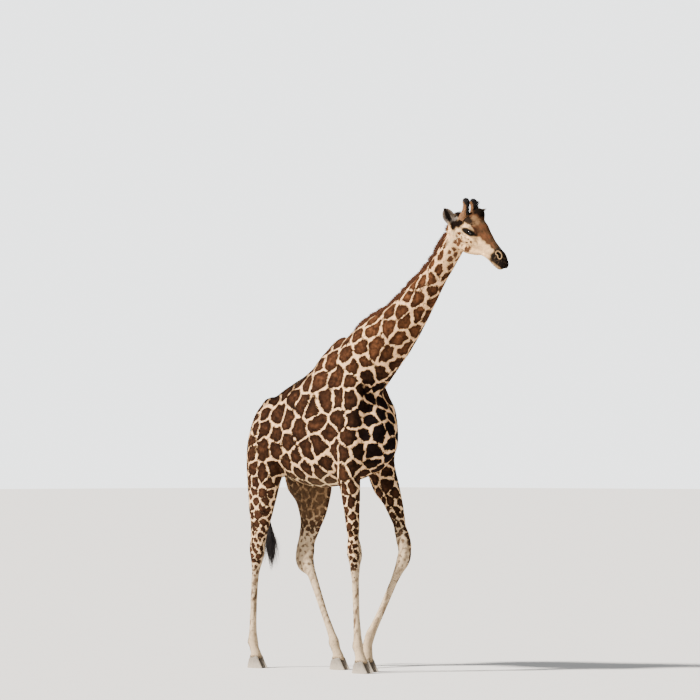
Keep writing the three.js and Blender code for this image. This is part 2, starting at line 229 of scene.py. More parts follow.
# Along, side, up, and the half lengths of each lump on the skull.
SKULL_LUMPS = {
    "orbit_right": (286, -82, 106, 72, 44, 46),
    "orbit_left": (286, 82, 106, 72, 44, 46),
    "brow_right": (232, -70, 154, 92, 48, 52),
    "brow_left": (232, 70, 154, 92, 48, 52),
    "middle_horn": (206, 0, 222, 64, 44, 84),
}
OSSICONE = [
    (124, 62, 130, 44),
    (118, 60, 172, 40),
    (102, 58, 208, 31),
    (77, 56, 247, 26),
    (52, 54, 282, 29),
    (40, 53, 301, 23),
    (35, 53, 309, 9),
]
EYE_PLACE = (286.0, 104.0, 102.0)
EYE_RADIUS = 27.0
# Root, reach to the tip, and the way the opening faces, in the head's frame. The right ear is laid back.
EARS = {
    RIGHT: ((78, -84, 38), (-138, -52, 96), (0.5, -0.78, 0.3)),
    LEFT: ((78, 84, 38), (-19, 178, 185), (0.9, 0.25, -0.3)),
}
# Share of the way to the tip, half width, half thickness, and how far forward of the ear's middle.
EAR_LEAF = [(0, 22, 22, 0), (0.14, 31, 27, 0), (0.32, 47, 27, 0), (0.56, 55, 22, 0), (0.8, 43, 15, 0)]
EAR_LEAF += [(0.95, 20, 8, 0), (1.0, 7, 4, 0)]
EAR_SCOOP = [(0.2, 14, 8, 24), (0.34, 37, 21, 22), (0.56, 46, 20, 22), (0.8, 35, 15, 16), (0.93, 12, 6, 9)]

HOOF_HEIGHT = 90.0
TOE_REACH, HEEL_REACH = 108.0, 76.0
CLAW_HALF_WIDTH, CLEFT = 28.0, 6.0

FLESH = ["trunk", "neck", "head", "ear_right", "ear_left", "tail"]
FLESH += ["foreleg_right", "foreleg_left", "hindleg_right", "hindleg_left"]

# The row's frame is the stations' frame moved along X so that the origin is under the middle of the box.
SHIFT = np.array(Vector((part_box("claw_hind_right_a")[0].x - (HIND_RIGHT[-1][0] - HEEL_REACH) * MM, 0.0, 0.0)))
# The straight line of the neck: its lower end, and its ways up the neck and square to it.
NECK_FOOT = np.array([549.0, 0, 2736])
UP_NECK, OFF_NECK = np.array([0.7406, 0, 0.6723]), np.array([-0.6723, 0, 0.7406])
FAR = 1e9


# ---- Settings ---------------------------------------------------------------------------------------------


def linear(code):
    """An sRGB hex colour as linear red, green and blue."""
    parts = [int(code[i : i + 2], 16) / 255 for i in (1, 3, 5)]
    return [c / 12.92 if c <= 0.04045 else ((c + 0.055) / 1.055) ** 2.4 for c in parts]


def colour(name, description, code):
    return bpy.props.FloatVectorProperty(
        name=name, description=description, subtype="COLOR", size=3, min=0, max=1, default=linear(code)
    )


def length(name, description, metres):
    return bpy.props.FloatProperty(
        name=name, description=description, default=metres, unit="LENGTH", subtype="DISTANCE", precision=4
    )


class GiraffeSizes(bpy.types.PropertyGroup):
    coat_depth: length("Coat depth", "How far the skin lies inside the solids", 0.004)
    body_grain: length("Body grain", "Side of the skin's faces on the body", 0.0142)
    head_grain: length("Head grain", "Side of the skin's faces on the head", 0.006)
    tuft_length: length("Tuft length", "Length of a tuft of the flat coat on the trunk", 0.015)
    mane_height: length("Mane height", "Length of the mane's hair", 0.062)
    tail_hair: length("Tail hair", "Length of the longest hair of the tail", 0.42)


class GiraffeColours(bpy.types.PropertyGroup):
    patch: colour("Patch", "The trunk's brown patches", "#2a180d")
    patch_neck: colour("Neck patch", "The neck's patches, redder and lighter", "#442918")
    # Near black: painted shade on the patches of the chest's front, and the dark line along the back.
    back_line_and_chest_shade: colour("Dark patch", "The patches of the chest and the line of the back", "#0c0603")
    line: colour("Line", "The buff lines between the patches", "#eec08e")
    belly: colour("Belly", "The paler ground of the belly and the inner legs", "#cfb086")
    # Painted shade: brown laid over the inner sides of the thighs.
    inner: colour("Inner thigh", "The brown inner side of the thighs", "#5c4530")
    shank: colour("Shank", "The lower legs", "#b39d7f")
    rust: colour("Rust", "The forehead and the bridge of the nose", "#4d2816")
    # Dark hair, also laid as painted shade in the hollows in front of the ears and on the brows above the eyes.
    temple: colour("Temple", "The dark hair between the ears, the horns and the eyes", "#140b07")
    cheek: colour("Cheek", "The cream of the cheeks and throat", "#d3ab7b")
    # Also painted shade along the creases of the cheeks and the folds of the jaw.
    muzzle: colour("Muzzle", "The dark mottled muzzle", "#100a07")
    # Also painted shade round the eyes, in the line of the mouth and inside the nostrils.
    black: colour("Black", "Eyelids, lashes, horn tips and tail hair", "#070504")
    ear: colour("Ear", "The grey back and rim of the ears", "#5f564e")
    mane: colour("Mane", "The mane's hair", "#42230f")
    hoof: colour("Hoof", "The dusty hooves", "#8d8274")
    horn: colour("Horn", "The pale hide on the horns", "#8a6344")
    pupil: colour("Pupil", "The pupils", "#050405")
    iris: colour("Iris", "The irises", "#1c110a")
    eyeball: colour("Eyeball", "The eyeballs round the irises", "#16100d")
    floor: colour("Floor", "The plain floor", "#d9d6d2")
    sky: colour("Sky", "The plain background", "#eef1f2")
    sky_light: colour("Sky light", "The light from all round", "#e6ebf0")


def sizes():
    return bpy.context.scene.giraffe_sizes


def colours():
    return bpy.context.scene.giraffe_colours


# ---- Shapes -----------------------------------------------------------------------------------------------


def head_point(along, side, up):
    """A place in the head's own frame as a place among the stations, in mm."""
    return HEAD_ORIGIN + HEAD_TURN @ (HEAD_SCALE * np.array([along, side, up], float))


def stations_frame(points):
    """Row-frame metres to station millimetres."""
    return (points - SHIFT) / MM


def in_head(points):
    """Places in metres in the row's frame as places in the head's own frame, in its mm."""
    return (stations_frame(points) - HEAD_ORIGIN) @ HEAD_TURN / HEAD_SCALE


def out_of_head(local):
    """Places in mm from the head's origin, along its axes, as places in metres in the row's frame."""
    return (local @ HEAD_TURN.T + HEAD_ORIGIN) * MM + SHIFT


def spline(rows, steps, centripetal):
    """Points and tangents of a smooth curve through the rows, with `steps` points to each span."""
    p = np.vstack([2 * rows[0] - rows[1], rows, 2 * rows[-1] - rows[-2]])
    points, tangents = [], []
    for i in range(len(rows) - 1):
        a, b, c, d = p[i : i + 4]
        if centripetal:
            before, here, after = (max(np.linalg.norm(e), 1e-6) ** 0.5 for e in (b - a, c - b, d - c))
            out = ((b - a) / before - (c - a) / (before + here) + (c - b) / here) * here
            into = ((c - b) / here - (d - b) / (here + after) + (d - c) / after) * here
        else:
            out, into = 0.35 * (c - a), 0.35 * (d - b)
        square, cube = 3 * (c - b) - 2 * out - into, 2 * (b - c) + out + into
        last = i == len(rows) - 2
        for t in np.arange(steps + last) / steps:
            points.append(b + out * t + square * t**2 + cube * t**3)
            tangents.append(out + 2 * square * t + 3 * cube * t**2)
    return np.array(points), np.array(tangents)


def loft(name, stations, around=48, steps=6, top=2.0, bottom=2.0, side=(0, 1, 0), inset=0.0):
    """A closed rounded bar through stations (x, y, z, half width, up, down) in mm, less inset all round."""
    rows = np.array(stations, float)
    centres, tangents = spline(rows[:, :3], steps, True)
    reach = np.maximum(spline(rows[:, 3:], steps, False)[0] - inset, 0.5)
    tangents /= np.linalg.norm(tangents, axis=1)[:, None]
    across = np.array(side, float) - tangents * (tangents @ np.array(side, float))[:, None]
    across /= np.linalg.norm(across, axis=1)[:, None]
    upward = np.cross(tangents, across)
    angle = 2 * math.pi * np.arange(around) / around
    c, s = np.cos(angle), np.sin(angle)
    power = np.where(s > 0, 2 / top, 2 / bottom)
    wide = np.sign(c) * np.abs(c) ** power
    high = np.sign(s) * np.abs(s) ** power
    vertical = np.where(s > 0, reach[:, 1:2], reach[:, 2:3]) * high
    rings = (
        centres[:, None]
        + across[:, None] * (reach[:, :1] * wide)[:, :, None]
        + upward[:, None] * vertical[:, :, None]
    )
    points = np.vstack([rings.reshape(-1, 3), centres[:1], centres[-1:]])
    faces = []
    count = len(centres)
    for ring in range(count - 1):
        for k in range(around):
            a, b = ring * around + k, ring * around + (k + 1) % around
            faces.append((a, b, b + around, a + around))
    first, last = count * around, count * around + 1
    for k in range(around):
        n = (k + 1) % around
        faces.append((first, n, k))
        faces.append((last, (count - 1) * around + k, (count - 1) * around + n))
    return mesh_object(name, points * MM + SHIFT, faces)


def mesh_object(name, points, faces):
    """A new object at the origin, its faces turned outwards."""
    mesh = bpy.data.meshes.new(name)
    mesh.from_pydata([tuple(p) for p in points], [], faces)
    made = bpy.data.objects.new(name, mesh)
    bpy.context.scene.collection.objects.link(made)
    only(made)
    bpy.ops.object.mode_set(mode="EDIT")
    bpy.ops.mesh.select_all(action="SELECT")
    bpy.ops.mesh.normals_make_consistent(inside=False)
    bpy.ops.object.mode_set(mode="OBJECT")
    return made


def triangles_object(name, points, triangles):
    """A new object from arrays of points and of triangles that already face outwards."""
    mesh = bpy.data.meshes.new(name)
    mesh.vertices.add(len(points))
    mesh.vertices.foreach_set("co", np.asarray(points, np.float32).ravel())
    mesh.loops.add(len(triangles) * 3)
    mesh.loops.foreach_set("vertex_index", np.asarray(triangles, np.int32).ravel())
    mesh.polygons.add(len(triangles))
    mesh.polygons.foreach_set("loop_start", np.arange(len(triangles), dtype=np.int32) * 3)
    mesh.update(calc_edges=True)
    mesh.validate()
    made = bpy.data.objects.new(name, mesh)
    bpy.context.scene.collection.objects.link(made)
    return made


def only(*objects):
    """Selects these objects alone, with the first one active."""
    bpy.ops.object.select_all(action="DESELECT")
    for o in objects:
        o.select_set(True)
    bpy.context.view_layer.objects.active = objects[0]


def joined(name, objects):
    only(*objects)
    if len(objects) > 1:
        bpy.ops.object.join()
    made = bpy.context.view_layer.objects.active
    made.name = name
    return made


def modified(made, kind, **settings):
    """Adds one modifier with its settings and applies it."""
    only(made)
    bpy.ops.object.modifier_add(type=kind)
    modifier = made.modifiers[-1]
    for key, value in settings.items():
        setattr(modifier, key, value)
    bpy.ops.object.modifier_apply(modifier=modifier.name)
    return made


def blob(name, place, halves):
    """An egg-shaped lump on the skull, turned as the head is, round a place in mm."""
    bpy.ops.mesh.primitive_uv_sphere_add(segments=40, ring_count=24, radius=1.0)
    made = bpy.context.view_layer.objects.active
    made.name = name
    scale = Matrix.Diagonal([h * MM for h in halves] + [1.0])
    spin = Matrix(HEAD_TURN.tolist()).to_4x4()
    made.data.transform(Matrix.Translation(Vector(SHIFT) + Vector(place) * MM) @ spin @ scale)
    return made


def fetch(rows, field, width, kind=np.float32):
    """One field of all the rows of a mesh, as an array."""
    found = np.empty(len(rows) * width, kind)
    rows.foreach_get(field, found)
    return found.reshape(-1, width).astype(float if kind is np.float32 else kind)


def coordinates(made):
    return fetch(made.data.vertices, "co", 3)


def normals(made):
    return fetch(made.data.vertex_normals, "vector", 3)


def place_vertices(made, points):
    made.data.vertices.foreach_set("co", points.astype(np.float32).ravel())
    made.data.update()


def unit(v):
    return v / np.maximum(np.linalg.norm(v, axis=-1, keepdims=True), 1e-9)


def smooth(value, low, high):
    """0 below low, 1 above high, and an S between."""
    t = np.clip((value - low) / (high - low), 0, 1)
    return t * t * (3 - 2 * t)


def hump(value, width):
    """1 where the value is 0, falling off on both sides."""
    return np.exp(-((value / width) ** 2))


def mirrored(path, side):
    """A path of the head's left side, on either side."""
    return np.array(path) * np.array([1, side, 1])


def distance_to_path(points, path):
    """Distance of each point from a broken line."""
    best = np.full(len(points), FAR)
    for a, b in zip(path[:-1], path[1:]):
        a, d = np.array(a, float), np.array(b, float) - np.array(a, float)
        t = np.clip((points - a) @ d / (d @ d), 0, 1)
        best = np.minimum(best, np.linalg.norm(points - a - t[:, None] * d, axis=1))
    return best


# ---- The skin ---------------------------------------------------------------------------------------------


def head_stations(rows):
    return [(*head_point(a, 0, u), *(HEAD_SCALE * np.array(reach))) for a, u, *reach in rows]


def ear_leaf(side, rows):
    """Stations of an ear's leaf or of the scoop in it, and the direction across it."""
    root, reach, opening = (np.array(v, float) for v in EARS[side])
    start = head_point(*root)
    spine = HEAD_TURN @ reach
    facing = HEAD_TURN @ (opening / np.linalg.norm(opening))
    stations = []
    for share, wide, thick, forward in rows:
        centre = start + spine * share + facing * (forward - 20 * math.sin(math.pi * share))
        stations.append((*centre, wide, thick, thick))
    return stations, np.cross(facing, spine) / np.linalg.norm(np.cross(facing, spine))


def ear_object(side):
    stations, across = ear_leaf(side, EAR_LEAF)
    made = loft(f"ear_{side}", stations, 32, 6, side=across, inset=1.0)
    hollow, across = ear_leaf(side, EAR_SCOOP)
    scoop = loft("scoop", hollow, 32, 6, side=across)
    modified(made, "BOOLEAN", operation="DIFFERENCE", solver="EXACT", object=scoop)
    bpy.data.objects.remove(scoop)
    return made


def skin_shape():
    """The body and the head, each remeshed at its own grain, joined to one closed surface."""
    depth = sizes().coat_depth / MM
    parts = [
        loft("trunk_form", TRUNK, 72, 6, top=1.8, bottom=2.2, inset=depth),
        loft("neck_form", NECK, 64, 6, inset=depth),
        loft("tail_form", TAIL, 16, 6, inset=2.0),
    ]
    for name, stations in LEGS.items():
        foot = list(stations[-1])
        foot[2] = HOOF_HEIGHT - 3
        parts.append(loft(f"{name}_form", [*stations[:-1], tuple(foot)], 40, 5, inset=depth))
    body = modified(joined("skin", parts), "REMESH", mode="VOXEL", voxel_size=sizes().body_grain)
    parts = [
        loft("cranium_form", head_stations(CRANIUM), 48, 5, top=1.9, bottom=2.6, inset=3.0),
        loft("mandible_form", head_stations(MANDIBLE), 40, 5, inset=3.0),
    ]
    for name, (a, s, u, *halves) in SKULL_LUMPS.items():
        halves = [h * HEAD_SCALE for h in halves]
        parts.append(blob(name, head_point(a, s, u), halves))
    parts += [ear_object(side) for side in SIDES.values()]
    head = modified(joined("head_form", parts), "REMESH", mode="VOXEL", voxel_size=sizes().head_grain)
    modified(body, "BOOLEAN", operation="UNION", solver="MANIFOLD", object=head)
    bpy.data.objects.remove(head)
    return body


def group_of(made, name, weights):
    """A vertex group with one weight for each vertex, in steps of a tenth."""
    group = made.vertex_groups.new(name=name)
    level = np.round(np.clip(weights, 0, 1) * 10).astype(int)
    for tenth in range(1, 11):
        chosen = np.nonzero(level == tenth)[0]
        if len(chosen):
            group.add(chosen.tolist(), tenth / 10, "REPLACE")


def soften(made):
    """Blends the forms into each other: widely on the trunk, a little on the legs and the face."""
    points = coordinates(made)
    p, h = stations_frame(points), in_head(points)
    head = smooth(h[:, 0] + 0.3 * h[:, 2], -40, 40) * smooth(h[:, 2], -300, -220)
    high = smooth(p[:, 2], 1560, 1850)
    group_of(made, "broad", high * (1 - head))
    leg = (1 - high) * smooth(p[:, 2], 150, 400)
    group_of(made, "legs", leg * 0.6 + 0.1)
    on_ear = np.maximum(
        smooth(np.abs(h[:, 1]), 96, 112) * smooth(h[:, 2], 40, 70) * smooth(-h[:, 0], -150, -100),
        smooth(-h[:, 0], -20, 10) * smooth(h[:, 2], 90, 110),
    )
    group_of(made, "face", head * (1 - 0.85 * on_ear))
    for name, rounds in (("broad", 26), ("legs", 7), ("face", 22)):
        modified(made, "SMOOTH", factor=0.5, iterations=rounds, vertex_group=name)
    made.vertex_groups.clear()


# Bones and muscles that stand out (positive) or hollows (negative): centre, radii and height, in mm.
FORMS = {
    "shoulder_point": [(650, 225, 2300), (70, 60, 80), 12],
    "elbow": [(430, 250, 1960), (60, 60, 60), 12],
    "hip_bone": [(-430, 215, 2440), (70, 60, 60), 20],
    "pin_bone": [(-735, 90, 2300), (50, 50, 60), 14],
    "flank_hollow": [(-300, 285, 2260), (110, 90, 150), -16],
    "behind_shoulder": [(330, 270, 2300), (60, 80, 260), -12],
    "breast_side": [(690, 110, 2100), (90, 70, 160), 10],
    "breast_middle": [(770, 0, 2120), (60, 34, 220), -14],
    "withers": [(390, 0, 2960), (120, 60, 60), 3],
    "loin": [(-480, 0, 2510), (120, 60, 40), 8],
}
# Folds and ridges: path, half width and height in mm.
FOLDS = {
    "flank_right": [
        [(-520, -250, 2110), (-414, -262, 1943), (-337, -250, 1837), (-300, -215, 1730)], 17, -20
    ],
    "flank_left": [[(-400, 262, 2110), (-250, 262, 1943), (-150, 240, 1830), (-120, 205, 1740)], 20, -14],
    "armpit_right": [[(368, -265, 1960), (400, -250, 1810), (410, -215, 1680)], 18, -14],
    "armpit_left": [[(400, 265, 1960), (400, 250, 1810), (400, 215, 1700)], 18, -12],
    "breast_crease": [[(735, -70, 2420), (772, -30, 2230), (762, -40, 2020)], 14, -9],
    "shoulder_blade_right": [[(420, -170, 2730), (520, -225, 2500), (600, -260, 2330)], 34, 9],
    "shoulder_blade_left": [[(420, 170, 2730), (520, 225, 2500), (580, 250, 2330)], 34, 9],
    "neck_groove_right": [[(1500, -75, 3420), (1150, -115, 3030), (820, -165, 2660)], 30, -9],
    "neck_groove_left": [[(1500, 75, 3420), (1150, 115, 3030), (820, 165, 2660)], 30, -9],
    "backbone": [[(300, 0, 2900), (0, 0, 2690), (-300, 0, 2570), (-600, 0, 2440)], 28, 8],
}


def sculpt(made):
    """Moves the skin along its normals to draw bones, folds, joints, lids and lips."""
    points, out = coordinates(made), normals(made)
    p = stations_frame(points)
    lift = np.zeros(len(p))
    for (x, y, z), radii, height in FORMS.values():
        for side in (RIGHT, LEFT) if y else (LEFT,):
            d = (p - np.array([x, side * y, z])) / np.array(radii)
            lift += height * np.exp(-(d**2).sum(1))
    for path, width, height in FOLDS.values():
        lift += height * hump(distance_to_path(p, path), width)
    for name, stations in LEGS.items():
        lift += leg_relief(p, out, name, np.array(stations, float))
    lift += neck_relief(p, out)
    place_vertices(made, points + out * (lift * MM)[:, None])


def leg_relief(p, out, name, rows):
    """Joints and tendons of one leg: what stands out in front, behind and at the sides, by height."""
    centre = np.array([np.interp(p[:, 2], rows[::-1, 2], rows[::-1, k]) for k in (0, 1)]).T
    here = np.linalg.norm(p[:, :2] - centre, axis=1) < 150
    here &= np.sign(p[:, 1]) == np.sign(rows[-1, 1])
    z, forward, sideways = p[:, 2], out[:, 0], np.abs(out[:, 1])
    cannon = smooth(z, 330, 420) * (1 - smooth(z, 760, 850))
    lift = -7.5 * cannon * hump(forward + 0.35, 0.3) * sideways
    lift += 3.0 * cannon * smooth(-forward, 0.5, 0.9)
    if name.startswith("fore"):
        joint = rows[9, 2]
        lift += 6.0 * hump(z - joint, 60) * smooth(forward, 0.1, 0.8)
        lift += 7.0 * hump(z - joint + 5, 35) * smooth(-forward, 0.3, 0.9)
        lift += 4.0 * hump(z - joint - 60, 30) * sideways
        lift -= 6.0 * hump(z - joint - 135, 45) + 4.5 * hump(z - joint + 95, 38)
    else:
        lift += 4.0 * hump(z - 960, 50) * sideways
        above_hock = smooth(z, 1080, 1180) * (1 - smooth(z, 1250, 1420))
        lift -= 11.0 * above_hock * sideways * smooth(-forward, 0, 0.6)
    lift += 7.0 * hump(z - 225, 28) * smooth(-forward, 0.3, 0.9)
    lift += 4.0 * hump(z - 108, 16)
    return np.where(here, lift, 0.0)


def neck_relief(p, out):
    """The vertebrae as soft bumps down the side of the neck, and loose skin low on the throat."""
    s = (p - NECK_FOOT) @ UP_NECK
    on_neck = smooth(s, 150, 350) * (1 - smooth(s, 1250, 1400))
    up = -out[:, 0] * UP_NECK[2] + out[:, 2] * UP_NECK[0]
    bumps = 4.0 * np.cos(2 * math.pi * s / 235) * hump(up - 0.1, 0.4) * np.abs(out[:, 1])
    wrinkle = 2.0 * np.sin(2 * math.pi * s / 55) * smooth(-up, 0.2, 0.8) * (1 - smooth(s, 250, 480))
    return on_neck * bumps + smooth(s, 60, 160) * wrinkle


def open_eyes(made):
    """Lays the lids over the eyeballs and opens them, deep enough for the ball to show."""
    points = coordinates(made)
    h = in_head(points) * HEAD_SCALE
    for side in SIDES.values():
        eye, out, along, up = eye_frame(side)
        rel = h - eye
        a, b, height = rel @ along, rel @ up, rel @ out
        rho = np.hypot(a, b)
        near = (rho < 70) & (height > -24)
        ball = np.sqrt(np.maximum(EYE_RADIUS**2 - rho**2, 0))
        lid = np.sqrt(np.maximum((EYE_RADIUS + 4.0) ** 2 - rho**2, 0))
        gap = lid_gap(a, b)
        # A wet rim stands up round the opening, and a crease runs above it.
        lid = lid + 1.6 * hump(gap - 2.5, 2.2) - 2.6 * hump(gap - 9, 2.6) * (b > 0)
        cover = 1 - smooth(rho, 24, 37)
        outside = np.maximum(height, height + (lid - height) * cover)
        open_in = 1 - smooth(gap, -1.8, 0.4)
        target = outside + (ball - 9.0 - outside) * open_in
        h[near] += (target - height)[near, None] * out
    place_vertices(made, out_of_head(h))


def eye_frame(side):
    """Middle of one eye, and the ways outwards, along the face and upwards from it, in the head's frame."""
    out = np.array([0.17, side * 0.97, 0.16])
    out /= np.linalg.norm(out)
    along = np.array([0.97, 0.0, -0.22])
    along -= out * (out @ along)
    along /= np.linalg.norm(along)
    up = np.cross(along, out) * -side
    return mirrored(EYE_PLACE, side) * HEAD_SCALE, out, along, up


def lid_gap(a, b):
    """Distance in mm outside the almond opening between the lids; negative inside it."""
    top = 17.0 * np.maximum(1 - (np.abs(a + 2) / 28) ** 2.4, 0)
    low = 13.0 * np.maximum(1 - (np.abs(a - 1) / 28) ** 2.4, 0)
    corner = np.maximum(np.abs(a) - 26, 0)
    return np.maximum(b - top, -b - low) + corner * 0.6


def lids(h, side, reach):
    """Distance in mm outside the opening of one eye, for the points of the head within reach of it."""
    eye, _, along, up = eye_frame(side)
    rel = h * HEAD_SCALE - eye
    return np.where(np.linalg.norm(rel, axis=1) < reach, lid_gap(rel @ along, rel @ up), FAR)


MOUTH = [(724, 8, 14), (708, 34, 8), (672, 48, 2), (620, 50, -4), (560, 46, -8), (500, 46, -6)]
# The slit of the left nostril, in the head's frame.
NOSTRIL = np.array([(604, 46, 98), (616, 52, 102), (634, 55, 98), (648, 54, 84)], float)

# Creases that run from below the ear round the angle of the jaw.
JAW_FOLDS = [
    [(118, 99, 44), (128, 98, -8), (152, 90, -54)],
    [(150, 102, 24), (166, 98, -22), (196, 90, -52)],
    [(92, 92, 20), (98, 90, -40), (120, 80, -86)],
]

# Lines drawn on the face: path in the head's frame on one side, half width and height in mm.
FACE_LINES = {
    "nostril": [NOSTRIL, 10, -18],
    "nostril_rim": [[(590, 38, 112), (620, 44, 122), (650, 46, 112), (670, 46, 82)], 8, 6],
    "nostril_fold": [[(596, 54, 86), (618, 60, 86), (636, 60, 78)], 8, 5],
    "mouth": [MOUTH, 3.6, -6],
    "upper_lip": [[(722, 8, 26), (704, 36, 22), (672, 52, 14), (620, 54, 8)], 10, 5],
    "lower_lip": [[(708, 20, -4), (672, 38, -10), (620, 42, -16)], 9, 4],
    "cheek_bone": [[(345, 92, 62), (290, 104, 42), (220, 106, 30), (150, 98, 20)], 15, 7],
    "below_eye": [[(330, 100, 74), (290, 112, 62), (250, 108, 66)], 7, -5],
    "nose_side": [[(380, 76, 84), (450, 62, 84), (540, 50, 78)], 18, -9],
    "jaw": [[(160, 74, -90), (230, 80, -104), (300, 66, -88), (400, 48, -46)], 20, 5],
    "jaw_groove": [[(200, 92, -10), (260, 90, -34), (330, 74, -24)], 18, -8],
    "temple": [[(170, 96, 120), (225, 100, 120)], 22, -9],
    "lid_fold": [[(232, 106, 112), (262, 112, 134), (300, 112, 138), (326, 104, 122)], 6, -6],
    "eye_bag": [[(250, 110, 72), (286, 112, 66), (318, 106, 74)], 6, 3],
    **{f"jaw_fold_{k}": [fold, 6, -6.5] for k, fold in enumerate(JAW_FOLDS)},
}


def face_lines(made):
    """Nostrils, lips and the bones under the skin of the face."""
    points, out = coordinates(made), normals(made)
    h = in_head(points)
    on_head = np.nonzero(h[:, 0] > 60)[0]
    tree = KDTree(len(on_head))
    for i in on_head:
        tree.insert(h[i], i)
    tree.balance()
    lift = np.zeros(len(points))
    for path, width, height in FACE_LINES.values():
        for side in SIDES.values():
            snapped = [np.array(tree.find((a, side * s, u))[0]) for a, s, u in path]
            lift += height * hump(distance_to_path(h, snapped), width)
    # Fine wrinkles run down the lips.
    lips = smooth(h[:, 0], 560, 600) * (1 - smooth(h[:, 0], 655, 690)) * smooth(-h[:, 2], -20, 20)
    lift += 1.2 * np.sin(h[:, 0] / 4.2) * lips
    place_vertices(made, points + out * (lift * MM)[:, None])


def refine(made, centres, radii):
    """Divides the faces round some places of the head, given in its own frame in mm."""
    h = in_head(fetch(made.data.polygons, "center", 3))
    near = np.zeros(len(h), bool)
    for centre in centres:
        near |= (((h - np.array(centre)) / np.array(radii)) ** 2).sum(1) < 1
    only(made)
    bpy.ops.object.mode_set(mode="EDIT")
    bpy.ops.mesh.select_mode(type="FACE")
    bpy.ops.mesh.select_all(action="DESELECT")
    bpy.ops.object.mode_set(mode="OBJECT")
    made.data.polygons.foreach_set("select", near)
    bpy.ops.object.mode_set(mode="EDIT")
    bpy.ops.mesh.subdivide(number_cuts=1)
    bpy.ops.object.mode_set(mode="OBJECT")


def keep_largest(made):
    """Removes loose crumbs, and keeps the one closed surface."""
    only(made)
    bpy.ops.object.mode_set(mode="EDIT")
    bpy.ops.mesh.select_all(action="SELECT")
    bpy.ops.mesh.separate(type="LOOSE")
    bpy.ops.object.mode_set(mode="OBJECT")
    pieces = sorted(bpy.context.selected_objects, key=lambda o: -len(o.data.vertices))
    for crumb in pieces[1:]:
        bpy.data.objects.remove(crumb)
    pieces[0].name = "skin"
    return pieces[0]


def unwrap(made):
    """Lays the whole surface out flat for the coat's bake patches."""
    made.data.uv_layers.new(name="OFBake")
    only(made)
    bpy.ops.object.mode_set(mode="EDIT")
    bpy.ops.mesh.select_all(action="SELECT")
    bpy.ops.uv.smart_project(angle_limit=1.15, island_margin=0.002, scale_to_bounds=True)
    bpy.ops.object.mode_set(mode="OBJECT")


# ---- The coat's markings ----------------------------------------------------------------------------------


def wobble(p, size, seed):
    """Smooth seeded unevenness, about -1 to 1, with humps of roughly the given size in mm."""
    rng = np.random.default_rng(seed)
    total = np.zeros(len(p))
    for _ in range(7):
        way = rng.normal(size=3)
        way *= math.pi / size * rng.uniform(0.6, 1.5) / np.linalg.norm(way)
        total += np.sin(p @ way + rng.uniform(0, 2 * math.pi))
    return total / 2.6


class Regions:
    """Where each point of the skin lies, as soft weights."""

    def __init__(self, points, out):
        p = self.p = stations_frame(points)
        h = self.h = in_head(points)
        self.out = out
        self.up_head = out @ HEAD_TURN[:, 2]
        self.side_head = np.abs(out @ HEAD_TURN[:, 1])
        self.along = (p - NECK_FOOT) @ UP_NECK
        self.head = smooth(h[:, 0] + 0.5 * h[:, 2], 15, 85) * smooth(h[:, 2], -330, -260)
        on_ear = np.zeros(len(p))
        for side in SIDES.values():
            root, reach, _ = (np.array(v, float) for v in EARS[side])
            axis = reach / np.linalg.norm(reach)
            rel = h - root
            t = rel @ axis
            off = np.linalg.norm(rel - t[:, None] * axis, axis=1)
            on_ear = np.maximum(on_ear, smooth(t, 22, 44) * (1 - smooth(off, 70, 84)))
        self.ear = on_ear
        self.neck = smooth(self.along, 100, 420) * (1 - self.head)
        self.leg = 1 - smooth(p[:, 2], 1560, 1900)
        self.tail = smooth(-p[:, 0], 775, 800)
        # The markings are laid out on a body whose neck is shortened, so that they come out longer along it.
        stretch = np.minimum(0.30 * np.maximum(self.along - 150, 0), 420)
        self.laid = p - stretch[:, None] * UP_NECK
        self.x, self.z = p[:, 0], p[:, 2]
        self.under = smooth(-out[:, 2], 0.45, 0.95) * (1 - self.head) * (1 - smooth(self.x, 250, 450))
        # The patterned coat reaches lower on the outer side of a leg than on its inner side.
        self.inward = -out[:, 1] * np.sign(p[:, 1])
        inside = smooth(self.inward, -0.5, 0.4) * (1 - smooth(self.z, 1350, 1800))
        self.leg_z = self.z - 340 * inside
        self.low = 1 - smooth(self.leg_z, 700, 960)


def spacing(r):
    """Distance between the middles of neighbouring patches, in mm."""
    x, z = r.x, r.z
    trunk = 152 - 26 * smooth(x, 480, 700) - 64 * smooth(-x, 440, 620)
    on_neck = 124 - 44 * smooth(r.along, 250, 1350)
    legs = 30 + 14 * smooth(z, 820, 960) + 72 * smooth(z, 1000, 1950) * (1 - 0.35 * smooth(-x, 100, 250))
    found = trunk + (on_neck - trunk) * r.neck
    found += (legs - found) * r.leg
    face = 30 + 12 * smooth(-r.h[:, 0], -330, -160)
    found += (face - found) * r.head
    return np.where(r.tail > 0.5, 60.0, found)


def patch_seeds(r, reach):
    """Middles of the patches: as close together as their spacing lets them be."""
    rng = np.random.default_rng(12)
    free = np.ones(len(r.p), bool)
    seeds = []
    for i in rng.permutation(len(r.laid)):
        if free[i]:
            seeds.append(i)
            gap = np.linalg.norm(r.laid - r.laid[i], axis=1)
            gap += 0.25 * reach[i] * np.linalg.norm(r.out - r.out[i], axis=1)
            free &= gap > 0.5 * (reach[i] + reach)
    return np.array(seeds)


